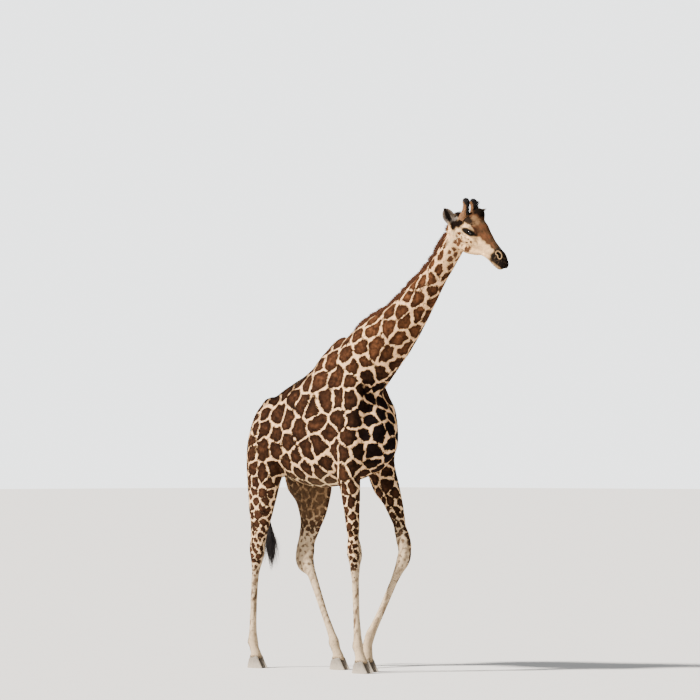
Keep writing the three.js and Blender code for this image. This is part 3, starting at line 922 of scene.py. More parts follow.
def patch_edges(r, reach, seeds):
    """For each point, the nearest seed and how far inside that patch's outline it lies, in mm."""
    ragged = np.stack([wobble(r.p, 110, 3 + k) + 0.6 * wobble(r.p, 45, 6 + k) for k in range(3)], axis=1)
    ragged *= (0.075 * reach)[:, None]
    place = np.hstack([r.laid + ragged, r.out * (0.3 * reach)[:, None]])
    middle = place[seeds]
    nearest = np.empty(len(place), int)
    inside = np.empty(len(place))
    for start in range(0, len(place), 2000):
        block = place[start : start + 2000]
        square = (block**2).sum(1)[:, None] - 2 * block @ middle.T + (middle**2).sum(1)[None]
        close = np.argpartition(square, 5, axis=1)[:, :6]
        found = np.take_along_axis(square, close, axis=1)
        order = np.argsort(found, axis=1)
        close, found = np.take_along_axis(close, order, 1), np.take_along_axis(found, order, 1)
        apart = np.linalg.norm(middle[close[:, 1:]] - middle[close[:, :1]], axis=2)
        edges = np.maximum((found[:, 1:] - found[:, :1]) / (2 * apart), 0.01)
        nearest[start : start + 2000] = close[:, 0]
        inside[start : start + 2000] = (edges**-3.0).sum(1) ** (-1 / 3.0)
    return nearest, inside


def mix(a, b, weight):
    """From colours a to colours b by a weight for each point."""
    return a + (b - a) * np.asarray(weight)[..., None]


def painted(base, layers):
    """Colours laid over each other in turn, each with its weight for each point."""
    for colour_of, weight in layers:
        base = mix(base, colour_of, weight)
    return base


class Palette:
    """The colours of the settings, each spread over all points."""

    def __init__(self, count):
        self.count = count

    def __getattr__(self, name):
        return np.tile(np.array(getattr(colours(), name)), (self.count, 1))


def line_width(r, reach):
    """Half the width of the pale lines, in mm: finer on the legs, and wide where the patches thin out."""
    half = 9.2 - 0.7 * r.neck - 2.2 * smooth(-r.x, 440, 620)
    half = half + (3.6 + 3.4 * smooth(r.z, 1000, 1800) - half) * r.leg
    half *= 1 + 0.28 * wobble(r.p, 70, 17)
    half += reach * (0.20 * r.low + 0.05 * (1 - smooth(r.leg_z, 300, 600)))
    half += 2 * r.under
    return half + (reach * 0.25 - half) * r.head


def patch_colours(r, c, depth, tone):
    """Brown patches, redder on the neck and painted near black on the chest as shade, with dark edges and
    mottled middles.
    """
    redder = np.maximum(r.neck, 0.5 * smooth(r.z, 2350, 2750) * (1 - r.head))
    # Painted shade: the patches on the front of the chest go near black, with less mottling.
    front = smooth(r.x, 565, 765) * smooth(r.z, 1500, 1900) * (1 - smooth(r.along, -60, 200)) * (1 - r.head)
    patch = painted(c.patch, [(c.patch_neck, redder), (c.back_line_and_chest_shade, 0.88 * front)])
    patch *= (1 + 0.10 * tone + 0.10 * wobble(r.p, 60, 8))[:, None]
    middle = smooth(depth, 0.10, 0.36) * (1 - 0.7 * front)
    return patch * (0.64 + middle * (1.05 + 0.6 * wobble(r.p, 33, 9)))[:, None]


def body_colours(r, c, depth, tone):
    """Colours between the patches and on them, for the whole skin but the head."""
    shanks = 1 - smooth(r.leg_z, 760, 1200)
    ground = painted(c.line, [(c.belly, np.maximum(r.under, 0.4 * r.leg)), (c.shank, shanks)])
    faded = r.low * (0.25 + 0.35 * (1 - smooth(r.leg_z, 250, 620)))
    patch = mix(patch_colours(r, c, depth, tone), ground, np.maximum(0.05 * r.under, faded))
    # Brown flecks of 20 to 30 mm lie over the shanks, most of them on the outer side.
    flecks = smooth(wobble(r.p, 26, 51) + 0.45 * wobble(r.p, 75, 52), 0.15, 0.55)
    flecks *= r.low * smooth(r.z, 210, 430) * (1 - 0.5 * smooth(r.inward, -0.2, 0.5)) * (1 - r.head)
    # Painted shade: the inner sides of the thighs are painted plain brown, and a dark line runs along the back.
    inner = smooth(r.inward, 0.0, 0.5) * smooth(r.z, 1180, 1420) * r.leg * smooth(-r.x, 0, 100)
    ridge = smooth(r.out[:, 2] + 0.10 * wobble(r.p, 60, 27) - np.abs(r.p[:, 1]) / 900, 0.22, 0.62)
    ridge *= (1 - smooth(r.along, -60, 140)) * (1 - smooth(-r.x, 600, 720)) * (1 - r.head)
    ridge *= smooth(r.z, 2300, 2360) * (1 - 0.8 * smooth(r.x, 0, 260))
    back = (c.back_line_and_chest_shade, 0.85 * ridge)
    ground = painted(ground, [(c.patch_neck, 0.84 * flecks), (c.inner, 0.85 * inner), back])
    ground *= (1 + 0.06 * wobble(r.p, 90, 31) + 0.04 * wobble(r.p, 25, 32))[:, None]
    return ground, painted(patch, [(c.inner * 0.72, 0.9 * inner), back])


def paint(made):
    """Writes the markings: `mark`, the depth inside a patch in metres, and the colours off and on them."""
    r = Regions(coordinates(made), normals(made))
    c = Palette(len(r.p))
    reach = spacing(r)
    seeds = patch_seeds(r, reach)
    nearest, inside = patch_edges(r, reach, seeds)
    tone = np.random.default_rng(5).normal(0, 1, len(seeds))[nearest]
    mark = inside - line_width(r, reach) - 1.6 * wobble(r.p, 34, 21)
    ground, patch, mark = paint_head(r, c, *body_colours(r, c, inside / reach, tone), mark)
    write_colour(made, "ground", ground)
    write_colour(made, "patch", patch)
    write_value(made, "mark", np.clip(mark, -30, 30) * MM)


def blot(h, centre, radii, lean=0.0):
    """1 in the middle of an oval on both sides of the head, 0 outside; lean turns it nose up, in degrees."""
    a, u = h[:, 0] - centre[0], h[:, 2] - centre[1]
    c, s = math.cos(math.radians(lean)), math.sin(math.radians(lean))
    d = np.hypot((a * c + u * s) / radii[0], (u * c - a * s) / radii[1])
    return 1 - smooth(d, 0.72, 1.12)


# Where the rust of the forehead ends: a line that drops from the horn's foot to the nostril, along and up.
RUST_EDGE = [(60, 150), (140, 176), (205, 196), (250, 170), (300, 134), (350, 112)]
RUST_EDGE += [(430, 108), (520, 100), (600, 96)]
# The pale arc between the dark hollow of the temple and the eye.
PALE_ARC = [(180, 105, 74), (183, 104, 104), (196, 100, 134), (226, 94, 156)]
# Painted shade along creases of the cheek and jaw: path on the left side, weight and half width in mm.
CREASE_SHADE_LINES = [
    ([(404, 66, -52), (455, 58, -30), (505, 52, -8)], 0.7, 9),
    ([(330, 100, 96), (372, 88, 76), (400, 78, 40)], 0.5, 7),
]


def face_colours(r, c):
    """Rust forehead and nose, cream cheeks, a dark muzzle and black round the horns' feet, with painted shade
    down the forehead's middle, along the rust's lower edge, on the jowls, on the brows and in the temples'
    hollows.
    """
    h = r.h
    a, s, u = h[:, 0], np.abs(h[:, 1]), h[:, 2]
    fine, broad = wobble(h, 11, 43), wobble(h, 36, 41)
    streak = wobble(h * np.array([1.0, 2.6, 2.6]), 42, 45)
    above = u - np.interp(a, *np.array(RUST_EDGE).T) + 9 * broad
    fair = blot(h, (244, 206), (62, 34), -20)
    # How dark the rust is: darker down the forehead's middle, partly dark hair and partly painted shade of the
    # far side of the brow; darker towards the nose, paler on a fair blot, and mottled.
    deep = 0.32 + 0.5 * hump(s, 34) + 0.2 * smooth(a, 380, 520) - 0.35 * fair
    deep = np.clip(deep + 0.26 * broad + 0.30 * streak, 0, 1)
    rusty = mix(mix(c.rust, c.cheek * 0.5, 0.35 * fair), c.rust * 0.16, deep)
    # Painted shade along the lower edge of the rust, from below the eye towards the nose.
    edge = hump(above, 9) * smooth(a, 300, 350) * (1 - smooth(a, 520, 580)) * (s < 110)
    # Painted shade: a brown wash on the side of the jowl, under the cheek bone.
    jowl_shade = smooth(a, 60, 110) * (1 - smooth(a, 190, 260)) * (1 - smooth(u, 50, 90))
    jowl_shade *= smooth(r.side_head, 0.3, 0.7)
    arc = np.minimum(*(distance_to_path(h, mirrored(PALE_ARC, side)) for side in SIDES.values()))
    snout = smooth(a + 12 * broad - 0.30 * np.maximum(u - 60, 0), 505, 585)
    throat = smooth(-r.up_head, 0.35, 0.85) * (1 - snout)
    speckle = smooth(fine * wobble(h, 8, 46) + 0.5 * wobble(h, 20, 44), 0.2, 0.9)
    pale_lip = smooth(-u, -6, 14) * smooth(a, 570, 610) * (1 - smooth(a, 694, 712))
    layers = [
        (rusty, 0.95 * smooth(above, -7, 9) * (s < 150)),
        # Painted shade along the rust's lower edge.
        (c.rust * 0.3, 0.55 * edge * (0.75 + 0.25 * fine)),
        # Painted shade on the jowl.
        (c.shank * 0.8, np.clip(0.3 + 0.3 * broad + 0.25 * streak, 0, 0.7) * jowl_shade),
        (c.black, 0.9 * smooth(u + 12 * broad, 238, 262) * (a < 300)),
        # Dark hair between the horn and the eye, with painted shade in front of the ear.
        (c.temple, 0.99 * blot(h, (184 + 9 * fine, 172), (92, 32), 8) * (s > 40)),
        # Painted shade on the brow above the eye.
        (c.temple * 2.0, 0.55 * blot(h, (300, 146), (60, 22), 6) * (s > 60)),
        # Painted shade in the hollow between the ear, the horn and the eye.
        (c.temple, 0.995 * (1 - smooth(temple_hollow(h) + 6 * broad, 28, 46))),
        (c.cheek * 1.15, 0.9 * hump(arc, 11)),
        (mix(c.muzzle, c.cheek * 0.4, 0.12 * speckle), snout),
        (c.cheek * 0.8, 0.7 * pale_lip * (0.7 + 0.3 * fine)),
        (c.cheek * 1.1, throat),
    ]
    for side in SIDES.values():
        layers += features(h, c, side)
    spots = smooth(a, 140, 170) * (1 - smooth(a, 330, 370)) * (1 - smooth(u, 40, 62)) * (1 - 0.7 * throat)
    return painted(c.cheek * (1 + 0.10 * broad + 0.08 * fine)[:, None], layers), spots, fine


def features(h, c, side):
    """Paint of one side's eye, mouth, nostril and creases: colours with their weights, with painted shade round
    the eye, in the mouth's line, inside the nostril and along the creases and jaw folds.
    """
    a = h[:, 0]
    # Black round the eye: the dark lids, widened by painted shade under the upper lid.
    eye_zone_and_lid_shade = blot(h, (264, 97), (98, 33), 13) * (np.sign(h[:, 1]) == side) * (np.abs(h[:, 1]) > 60)
    layers = [(c.black, 0.995 * eye_zone_and_lid_shade), (c.black, 1 - smooth(lids(h, side, 80), 4, 9))]
    # Painted shade along the creases of the cheek.
    for path, weight, width in CREASE_SHADE_LINES:
        layers.append((c.muzzle, weight * hump(distance_to_path(h, mirrored(path, side)), width)))
    mouth = distance_to_path(h, mirrored(MOUTH, side))
    nostril = nostril_distance(h, side)
    # Painted shade in the line of the mouth and inside the nostril, round the nostril's pale rim.
    layers += [
        (c.black, 0.85 * (1 - smooth(mouth, 3, 8)) * smooth(a, 520, 600)),
        (c.cheek * 0.6, 0.85 * hump(nostril - 18, 3.4)),
        (c.black, 1 - smooth(nostril, 11, 15)),
    ]
    # Painted shade along the folds of the jaw.
    for fold in JAW_FOLDS:
        layers.append((c.muzzle * 1.6, 0.45 * hump(distance_to_path(h, mirrored(fold, side)), 5)))
    return layers


def paint_head(r, c, ground, patch, mark):
    """Adds the face with the spots of its cheeks, the dark crown and the grey ears to the body's colours."""
    face, spots, fine = face_colours(r, c)
    crown = poll(r) * (1 - smooth(np.abs(r.h[:, 1]), 58, 76)) * (1 - r.ear)
    hollow = (c.black, 0.93 * ear_hollow(r))
    ears = c.ear * (1 + 0.25 * fine)[:, None]
    ground = painted(ground, [(face, r.head), (c.temple, crown), (ears, 0.95 * r.ear), hollow])
    spotted = mix(face, c.rust * 0.6, 0.95 * spots)
    patch = painted(patch, [(spotted, r.head), (c.temple, crown), (c.ear, 0.95 * r.ear), hollow])
    return ground, patch, mark + 4.0 * spots * r.head


def nostril_distance(h, side):
    """Distance from the slit of a nostril and from its floor."""
    floor = NOSTRIL - np.array([0, 17, 6])
    return np.minimum(*(distance_to_path(h, mirrored(path, side)) for path in (NOSTRIL, floor)))


def ear_hollow(r):
    """1 deep inside the openings of the ears, and 0 on their rims and backs and elsewhere."""
    found = np.zeros(len(r.h))
    for side in SIDES.values():
        root, reach, opening = (np.array(v, float) for v in EARS[side])
        axis = reach / np.linalg.norm(reach)
        facing = unit(opening - axis * (opening @ axis))
        rel = r.h - root
        share = rel @ axis / np.linalg.norm(reach)
        width = np.interp(share, [0, 0.32, 0.56, 0.8, 1], [24, 42, 50, 36, 8])
        centre = 1 - smooth(np.abs(rel @ np.cross(axis, facing)) / width, 0.3, 0.72)
        mine = r.ear * (np.sign(r.h[:, 1]) == side)
        found += mine * smooth((r.out @ HEAD_TURN) @ facing, 0.0, 0.4) * centre
    return found


def write_colour(made, name, rgb):
    layer = made.data.color_attributes.new(name=name, type="FLOAT_COLOR", domain="POINT")
    rgba = np.ones((len(rgb), 4), np.float32)
    rgba[:, :3] = np.clip(rgb, 0.002, 1)
    layer.data.foreach_set("color", rgba.ravel())


def write_value(made, name, values):
    layer = made.data.attributes.new(name=name, type="FLOAT", domain="POINT")
    layer.data.foreach_set("value", values.astype(np.float32))


def read_colour(made, name):
    return fetch(made.data.color_attributes[name].data, "color", 4)[:, :3]


def read_value(made, name):
    return fetch(made.data.attributes[name].data, "value", 1)[:, 0]


# ---- Materials --------------------------------------------------------------------------------------------


def node(tree, kind, links=(), **settings):
    """Adds a node; links are (input, output), and settings are properties or, with a leading in_, inputs."""
    made = tree.nodes.new(kind)
    for key, value in settings.items():
        if key.startswith("in_"):
            slot = key[3:].replace("_", " ")
            made.inputs[int(slot) if slot.isdigit() else slot].default_value = value
        else:
            setattr(made, key, value)
    for slot, source in links:
        tree.links.new(source, made.inputs[slot])
    return made


def new_material(name, **settings):
    made = bpy.data.materials.new(name)
    made.use_nodes = True
    shader = made.node_tree.nodes["Principled BSDF"]
    for key, value in settings.items():
        shader.inputs[key.replace("_", " ")].default_value = value
    return made, made.node_tree, shader


def feed(tree, value, slot):
    """Gives an input another node's output, or a plain value."""
    if isinstance(value, bpy.types.NodeSocket):
        tree.links.new(value, slot)
    else:
        slot.default_value = value


def maths(tree, operation, a, b=0.0, c=0.0):
    made = node(tree, "ShaderNodeMath", operation=operation)
    for slot, value in enumerate((a, b, c)):
        feed(tree, value, made.inputs[slot])
    return made.outputs[0]


def blend(tree, factor, a, b, kind="MIX"):
    """Two colours blended by a factor; each may be a value or another node's output."""
    made = node(tree, "ShaderNodeMix", data_type="RGBA", blend_type=kind)
    feed(tree, factor, made.inputs["Factor"])
    for slot, value in ((6, a), (7, b)):
        feed(tree, value if isinstance(value, bpy.types.NodeSocket) else (*value, 1), made.inputs[slot])
    return made.outputs[2]


def toned(tree, colour_of, tone):
    """A colour made lighter or darker by a tone round 1."""
    made = node(tree, "ShaderNodeMix", data_type="RGBA", blend_type="MULTIPLY", in_Factor=1.0)
    feed(tree, colour_of if isinstance(colour_of, bpy.types.NodeSocket) else (*colour_of, 1), made.inputs[6])
    tree.links.new(tone, made.inputs[7])
    return made.outputs[2]


def attribute(tree, name, output="Fac"):
    return node(tree, "ShaderNodeAttribute", attribute_name=name).outputs[output]


def unevenness(tree, per_metre, detail):
    """Noise of so many humps to the metre, in the object's own coordinates."""
    where = node(tree, "ShaderNodeTexCoord").outputs["Object"]
    made = node(tree, "ShaderNodeTexNoise", [("Vector", where)], in_Scale=per_metre, in_Detail=detail)
    return made.outputs["Fac"]


def ramp(tree, value, low, high):
    """0 below low, 1 above high, and an S between."""
    made = node(tree, "ShaderNodeMapRange", [("Value", value)], interpolation_type="SMOOTHSTEP")
    made.inputs["From Min"].default_value, made.inputs["From Max"].default_value = low, high
    return made.outputs[0]


def dressed(tree, shader, colour_of, height=None, strength=0.5, distance=0.001):
    """Gives the shader its colour, and its relief where there is any."""
    tree.links.new(colour_of, shader.inputs["Base Color"])
    if height:
        bump = node(tree, "ShaderNodeBump", [("Height", height)], in_Strength=strength, in_Distance=distance)
        tree.links.new(bump.outputs[0], shader.inputs["Normal"])


def coat_material():
    """Short hide with chocolate patches: ragged edges where the hair of a patch lies over the line."""
    made, tree, shader = new_material("hide_short_coat", Roughness=0.85, Specular_IOR_Level=0.04)
    # Two sizes of raggedness: 40 mm lobes and 7 mm locks of hair.
    ragged = attribute(tree, "mark")
    for per_metre, detail, reach in ((26.0, 2.0, 0.030), (150.0, 3.0, 0.016)):
        off_middle = maths(tree, "SUBTRACT", unevenness(tree, per_metre, detail), 0.5)
        ragged = maths(tree, "MULTIPLY_ADD", off_middle, reach, ragged)
    # Patches are mottled, with paler hair in blotches about 25 mm across.
    blotches = maths(tree, "MULTIPLY_ADD", unevenness(tree, 40.0, 3.0), 2.2, -0.1)
    mottled = toned(tree, attribute(tree, "patch", "Color"), blotches)
    mixed = blend(tree, ramp(tree, ragged, -0.0025, 0.0025), attribute(tree, "ground", "Color"), mottled)
    # Hairs 2 mm apart vary in tone.
    hairs = unevenness(tree, 420.0, 2.0)
    tone = maths(tree, "MULTIPLY_ADD", hairs, 0.55, 0.72)
    dressed(tree, shader, toned(tree, mixed, tone), hairs, 0.5, 0.0015)
    return made


def plain_material(name, base, rough, per_metre, spread):
    """One colour with a fine unevenness of tone."""
    made, tree, shader = new_material(name, Roughness=rough, Specular_IOR_Level=0.1)
    tone = maths(tree, "MULTIPLY_ADD", unevenness(tree, per_metre, 3.0), 2 * spread, 1 - spread)
    dressed(tree, shader, toned(tree, base, tone))
    return made


def hand_in(made, slot, *nodes):
    """Lets a piece ride the body and hides the solids it stands for; its slot is not used."""
    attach(made, "root")
    if nodes:
        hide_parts(*nodes)


def wear(made, material):
    made.data.materials.clear()
    made.data.materials.append(material)


def material(name, maker, *settings):
    return bpy.data.materials.get(name) or maker(*settings)


# Places of the head whose faces are divided once more: round the eyes, the lids, and the nostrils and lips.
FINE_PLACES = [
    ([(286, 104, 102), (286, -104, 102)], (66, 60, 60)),
    ([(286, 108, 102), (286, -108, 102)], (44, 40, 40)),
    ([(660, 0, 40)], (110, 90, 90)),
]


class GIRAFFE_OT_skin(bpy.types.Operator):
    """Build the skin of the whole body in one piece, with its relief and markings"""

    bl_idname = "giraffe.skin"
    bl_label = "Skin"

    def execute(self, context):
        skin = skin_shape()
        soften(skin)
        for centres, radii in FINE_PLACES:
            refine(skin, centres, radii)
        sculpt(skin)
        face_lines(skin)
        open_eyes(skin)
        skin = keep_largest(skin)
        paint(skin)
        wear(skin, material("hide_short_coat", coat_material))
        only(skin)
        bpy.ops.object.shade_smooth()
        unwrap(skin)
        hand_in(skin, "coat", *FLESH)
        return {"FINISHED"}


# ---- Eyes, horns and hooves -------------------------------------------------------------------------------


def eye_object(name, side):
    """An eyeball and its cornea; `across` grows from the pupil's middle, `rim` is the angle off the front."""
    bpy.ops.object.select_all(action="DESELECT")
    bpy.ops.mesh.primitive_uv_sphere_add(segments=64, ring_count=48, radius=1.0)
    made = bpy.context.view_layer.objects.active
    made.name = name
    eye, out, along, up = (HEAD_TURN @ v for v in eye_frame(side))
    local = coordinates(made)
    # The poles of the sphere lie on the optical axis.
    turned = local[:, 2:3] * out + local[:, 0:1] * along + local[:, 1:2] * up
    angle = np.arccos(np.clip(local[:, 2], -1, 1))
    bulge = 1 + 0.06 * (1 - smooth(angle, 0.35, 0.75))
    place_vertices(made, (HEAD_ORIGIN + eye + turned * (EYE_RADIUS * bulge)[:, None]) * MM + SHIFT)
    write_value(made, "across", np.hypot(local[:, 0] * 0.62, local[:, 1]) + 2.0 * (local[:, 2] < 0))
    write_value(made, "rim", angle)
    return made


def eye_material():
    """A wet dark brown eye: a long level pupil in an iris that is barely lighter."""
    settings = {"IOR": 1.38, "Coat_Weight": 0.6, "Coat_Roughness": 0.03}
    made, tree, shader = new_material("eye_wet", Roughness=0.06, **settings)
    c = colours()
    iris = blend(tree, ramp(tree, attribute(tree, "across"), 0.16, 0.20), c.pupil, c.iris)
    dressed(tree, shader, blend(tree, ramp(tree, attribute(tree, "rim"), 0.62, 0.74), iris, c.eyeball))
    return made


def horn_object(name, side):
    """One horn: hide-covered bone with a knobbed top, dark towards the tip."""
    rows = [tuple(head_point(a, side * s, u)) + (HEAD_SCALE * (w - 1.5),) * 3 for a, s, u, w in OSSICONE]
    made = loft(name, rows, 56, 10)
    points, out = coordinates(made), normals(made)
    h = in_head(points)
    lift = 1.5 * wobble(h, 30, 51 + side) + 0.5 * wobble(h, 9, 61 + side)
    place_vertices(made, points + out * (lift * MM)[:, None])
    front = smooth((out @ HEAD_TURN)[:, 0], 0.25, 0.7) * smooth(h[:, 2], 170, 215)
    write_value(made, "tip", np.maximum(smooth(h[:, 2] + 10 * wobble(h, 24, 71), 262, 288), front))
    only(made)
    bpy.ops.object.shade_smooth()
    return made


def horn_material():
    """Pale hide, wrinkled across, going to near black at the tip."""
    made, tree, shader = new_material("horn_hide", Roughness=0.75, Specular_IOR_Level=0.3)
    wrinkles = unevenness(tree, 140.0, 4.0)
    ragged = maths(tree, "MULTIPLY_ADD", maths(tree, "SUBTRACT", wrinkles, 0.5), 0.5, attribute(tree, "tip"))
    mixed = blend(tree, ragged, colours().horn, colours().black)
    tone = maths(tree, "MULTIPLY_ADD", wrinkles, 0.8, 0.6)
    dressed(tree, shader, toned(tree, mixed, tone), wrinkles, 0.7, 0.002)
    return made


def claw_object(name, foot, side):
    """One claw of a hoof: a wall leaning back from a rounded toe, ringed by its growth, on a flat sole."""
    x, y = foot[0], foot[1] + side * (CLAW_HALF_WIDTH + CLEFT / 2)
    w = CLAW_HALF_WIDTH
    rows = [
        (x - 2, y, HOOF_HEIGHT + 10, w * 0.70, 44, 46),
        (x, y, HOOF_HEIGHT - 4, w * 0.83, 56, 55),
        (x, y, HOOF_HEIGHT * 0.5, w * 0.97, 80, 66),
        (x, y, 7, w, TOE_REACH - 2, HEEL_REACH - 1),
        (x, y, 0, w - 1.5, TOE_REACH - 4, HEEL_REACH - 3),
    ]
    made = loft(name, rows, 64, 8, top=1.8, bottom=2.4)
    points, out = coordinates(made), normals(made)
    p = stations_frame(points)
    wall = smooth(p[:, 2], 2, 8) * (1 - smooth(np.abs(out[:, 2]), 0.8, 0.95))
    rings = 0.5 * np.sin(p[:, 2] / 2.1 + 0.8 * wobble(p, 60, 81)) + 0.6 * wobble(p, 22, 82)
    out[:, 2] = 0
    points += out * (rings * wall * MM)[:, None]
    points[:, 2] = np.maximum(points[:, 2], 0.0)
    place_vertices(made, points)
    only(made)
    bpy.ops.object.shade_smooth_by_angle(angle=math.radians(40))
    return made


def hoof_material():
    """Dry horn, dusted by the ground: darker at the coronet, paler towards the sole."""
    made, tree, shader = new_material("hoof_horn", Roughness=0.62, Specular_IOR_Level=0.35)
    where = node(tree, "ShaderNodeTexCoord").outputs["Object"]
    up = node(tree, "ShaderNodeSeparateXYZ", [("Vector", where)]).outputs["Z"]
    high = node(tree, "ShaderNodeMapRange", [("Value", up)])
    high.inputs["From Max"].default_value = HOOF_HEIGHT * MM
    dust = maths(tree, "SUBTRACT", unevenness(tree, 60.0, 4.0), 0.5)
    level = maths(tree, "MULTIPLY_ADD", dust, 1.1, high.outputs[0])
    pale, dark = ([share * v for v in colours().hoof] for share in (1.25, 0.62))
    dressed(tree, shader, blend(tree, level, pale, dark), unevenness(tree, 260.0, 3.0), 0.5, 0.001)
    return made


# ---- Hair -------------------------------------------------------------------------------------------------


class Hide:
    """The skin as arrays, to set hair on: triangles with places, normals, colours and bake coordinates."""

    def __init__(self):
        skin = bpy.data.objects["skin"]
        mesh = skin.data
        mesh.calc_loop_triangles()
        self.vertices = fetch(mesh.loop_triangles, "vertices", 3, np.int32)
        loops = fetch(mesh.loop_triangles, "loops", 3, np.int32)
        self.uv = fetch(mesh.uv_layers["OFBake"].data, "uv", 2)[loops]
        self.points, self.out = coordinates(skin), normals(skin)
        corner = self.points[self.vertices]
        square = np.cross(corner[:, 1] - corner[:, 0], corner[:, 2] - corner[:, 0])
        self.area = 0.5 * np.linalg.norm(square, axis=1)
        self.ground, self.patch = read_colour(skin, "ground"), read_colour(skin, "patch")
        self.mark = read_value(skin, "mark")

    def scatter(self, count, weight, seed):
        """Roots spread by area times a weight for each vertex of the skin."""
        rng = np.random.default_rng(seed)
        chance = self.area * weight[self.vertices].mean(1)
        pick = rng.choice(len(chance), count, p=chance / chance.sum())
        share = rng.dirichlet((1, 1, 1), count)
        return pick, share

    def at(self, values, pick, share):
        """A value of the skin's vertices at each root."""
        rows = values if values.ndim > 1 else values[:, None]
        found = (rows[self.vertices[pick]] * share[:, :, None]).sum(1)
        return found if values.ndim > 1 else found[:, 0]


def strands(name, paths, widths):
    """Three-sided hairs along paths (hair, step, xyz) with a width at the root, closed at root and tip."""
    count, steps = paths.shape[:2]
    t = unit(np.gradient(paths, axis=1))
    helper = np.where(np.abs(t[:, :, 2:3]) > 0.9, [[[1.0, 0, 0]]], [[[0, 0, 1.0]]])
    a = unit(np.cross(t, helper))
    b = np.cross(t, a)
    taper = (1 - (np.arange(steps - 1) / (steps - 1)) ** 1.6) * 0.5
    rings = []
    for k in range(3):
        turn = 2 * math.pi * k / 3
        side = a * math.cos(turn) + b * math.sin(turn)
        rings.append(paths[:, :-1] + side[:, :-1] * (widths[:, None] * taper)[:, :, None])
    rings = np.stack(rings, axis=2).reshape(count, -1, 3)
    points = np.concatenate([rings, paths[:, -1:]], axis=1)
    per = points.shape[1]
    faces = [(0, 2, 1)]
    for s in range(steps - 2):
        for k in range(3):
            n = (k + 1) % 3
            low, high = s * 3, s * 3 + 3
            faces += [(low + k, low + n, high + n), (low + k, high + n, high + k)]
    last = (steps - 2) * 3
    faces += [(last + k, last + (k + 1) % 3, per - 1) for k in range(3)]
    every = np.array(faces)[None] + (np.arange(count) * per)[:, None, None]
    return triangles_object(name, points.reshape(-1, 3), every.reshape(-1, 3)), len(faces)


def bake_patches(made, hide, pick, share, per_faces):
    """Gives each hair a patch 0.003 across at its root's place in the skin's own unwrap."""
    root = (hide.uv[pick] * share[:, :, None]).sum(1)
    corner = np.array([(-1, -1), (1, -1), (0, 1)]) * 0.0015
    uv = root[:, None, None] + np.tile(corner, (per_faces, 1, 1))[None]
    layer = made.data.uv_layers.new(name="OFBake")
    layer.data.foreach_set("uv", np.clip(uv, 0, 1).reshape(-1).astype(np.float32))


def nearest_roots(hide, points):
    """The skin's triangle nearest to each root, for hair that isn't scattered on the skin."""
    tree = KDTree(len(hide.vertices))
    for i, corner in enumerate(hide.points[hide.vertices].mean(1)):
        tree.insert(corner, i)
    tree.balance()
    pick = np.array([tree.find(p)[1] for p in points])
    return pick, np.full((len(pick), 3), 1 / 3)


# Finish of loose hair: colour, how much lighter, roughness, humps of tone to the metre, and their spread.
HAIR_FINISH = {
    "mane_hair": ("mane", 1.0, 0.6, 60.0, 0.45),
    "dark_hair": ("black", 1.0, 0.42, 90.0, 0.4),
    "horn_short_hair": ("horn", 1.15, 0.5, 90.0, 0.4),
}


def hair_piece(name, finish, paths, widths, hide, roots=None):
    """Loose hair as one piece of solid strands, with a bake patch for each where it roots in the skin."""
    made, per_faces = strands(name, paths, widths)
    bake_patches(made, hide, *(roots or nearest_roots(hide, paths[:, 0])), per_faces)
    tone, lighter, *rest = HAIR_FINISH[finish]
    base = [lighter * v for v in getattr(colours(), tone)]
    wear(made, material(finish, plain_material, finish, base, *rest))
    return made


def mane_paths(hide):
    """The mane: a brush of stiff hair along the neck's crest, from the poll to the withers."""
    r = Regions(hide.points, hide.out)
    crest = r.out @ OFF_NECK
    along = smooth(r.along, -190, 60) * (1 - smooth(r.along, 1445, 1500))
    middle = np.interp(r.along, [1300, 1500], [0, 9])
    weight = hump(r.p[:, 1] - middle, 11) * smooth(crest, 0.6, 0.9)
    roots = hide.scatter(11500, along * weight, 21)
    root, out = hide.at(hide.points, *roots), unit(hide.at(hide.out, *roots))
    s = hide.at(r.along, *roots)
    rng = np.random.default_rng(22)
    height = sizes().mane_height * (0.1 + 0.9 * smooth(s, -170, 290)) * rng.uniform(0.82, 1.12, len(s))
    height *= 0.94 + 0.10 * np.sin(s / 23 + np.sin(s / 61) * 2)
    way = unit(OFF_NECK + 0.16 * out - 0.26 * UP_NECK + 0.10 * rng.normal(size=(len(s), 3)))
    steps = np.linspace(0, 1, 4)[None, :, None]
    bend = -0.18 * UP_NECK * steps**2
    paths = (root - out * 0.004)[:, None] + (way[:, None] * steps + bend) * (height + 0.004)[:, None, None]
    return paths, rng.uniform(0.0033, 0.0048, len(s)), roots


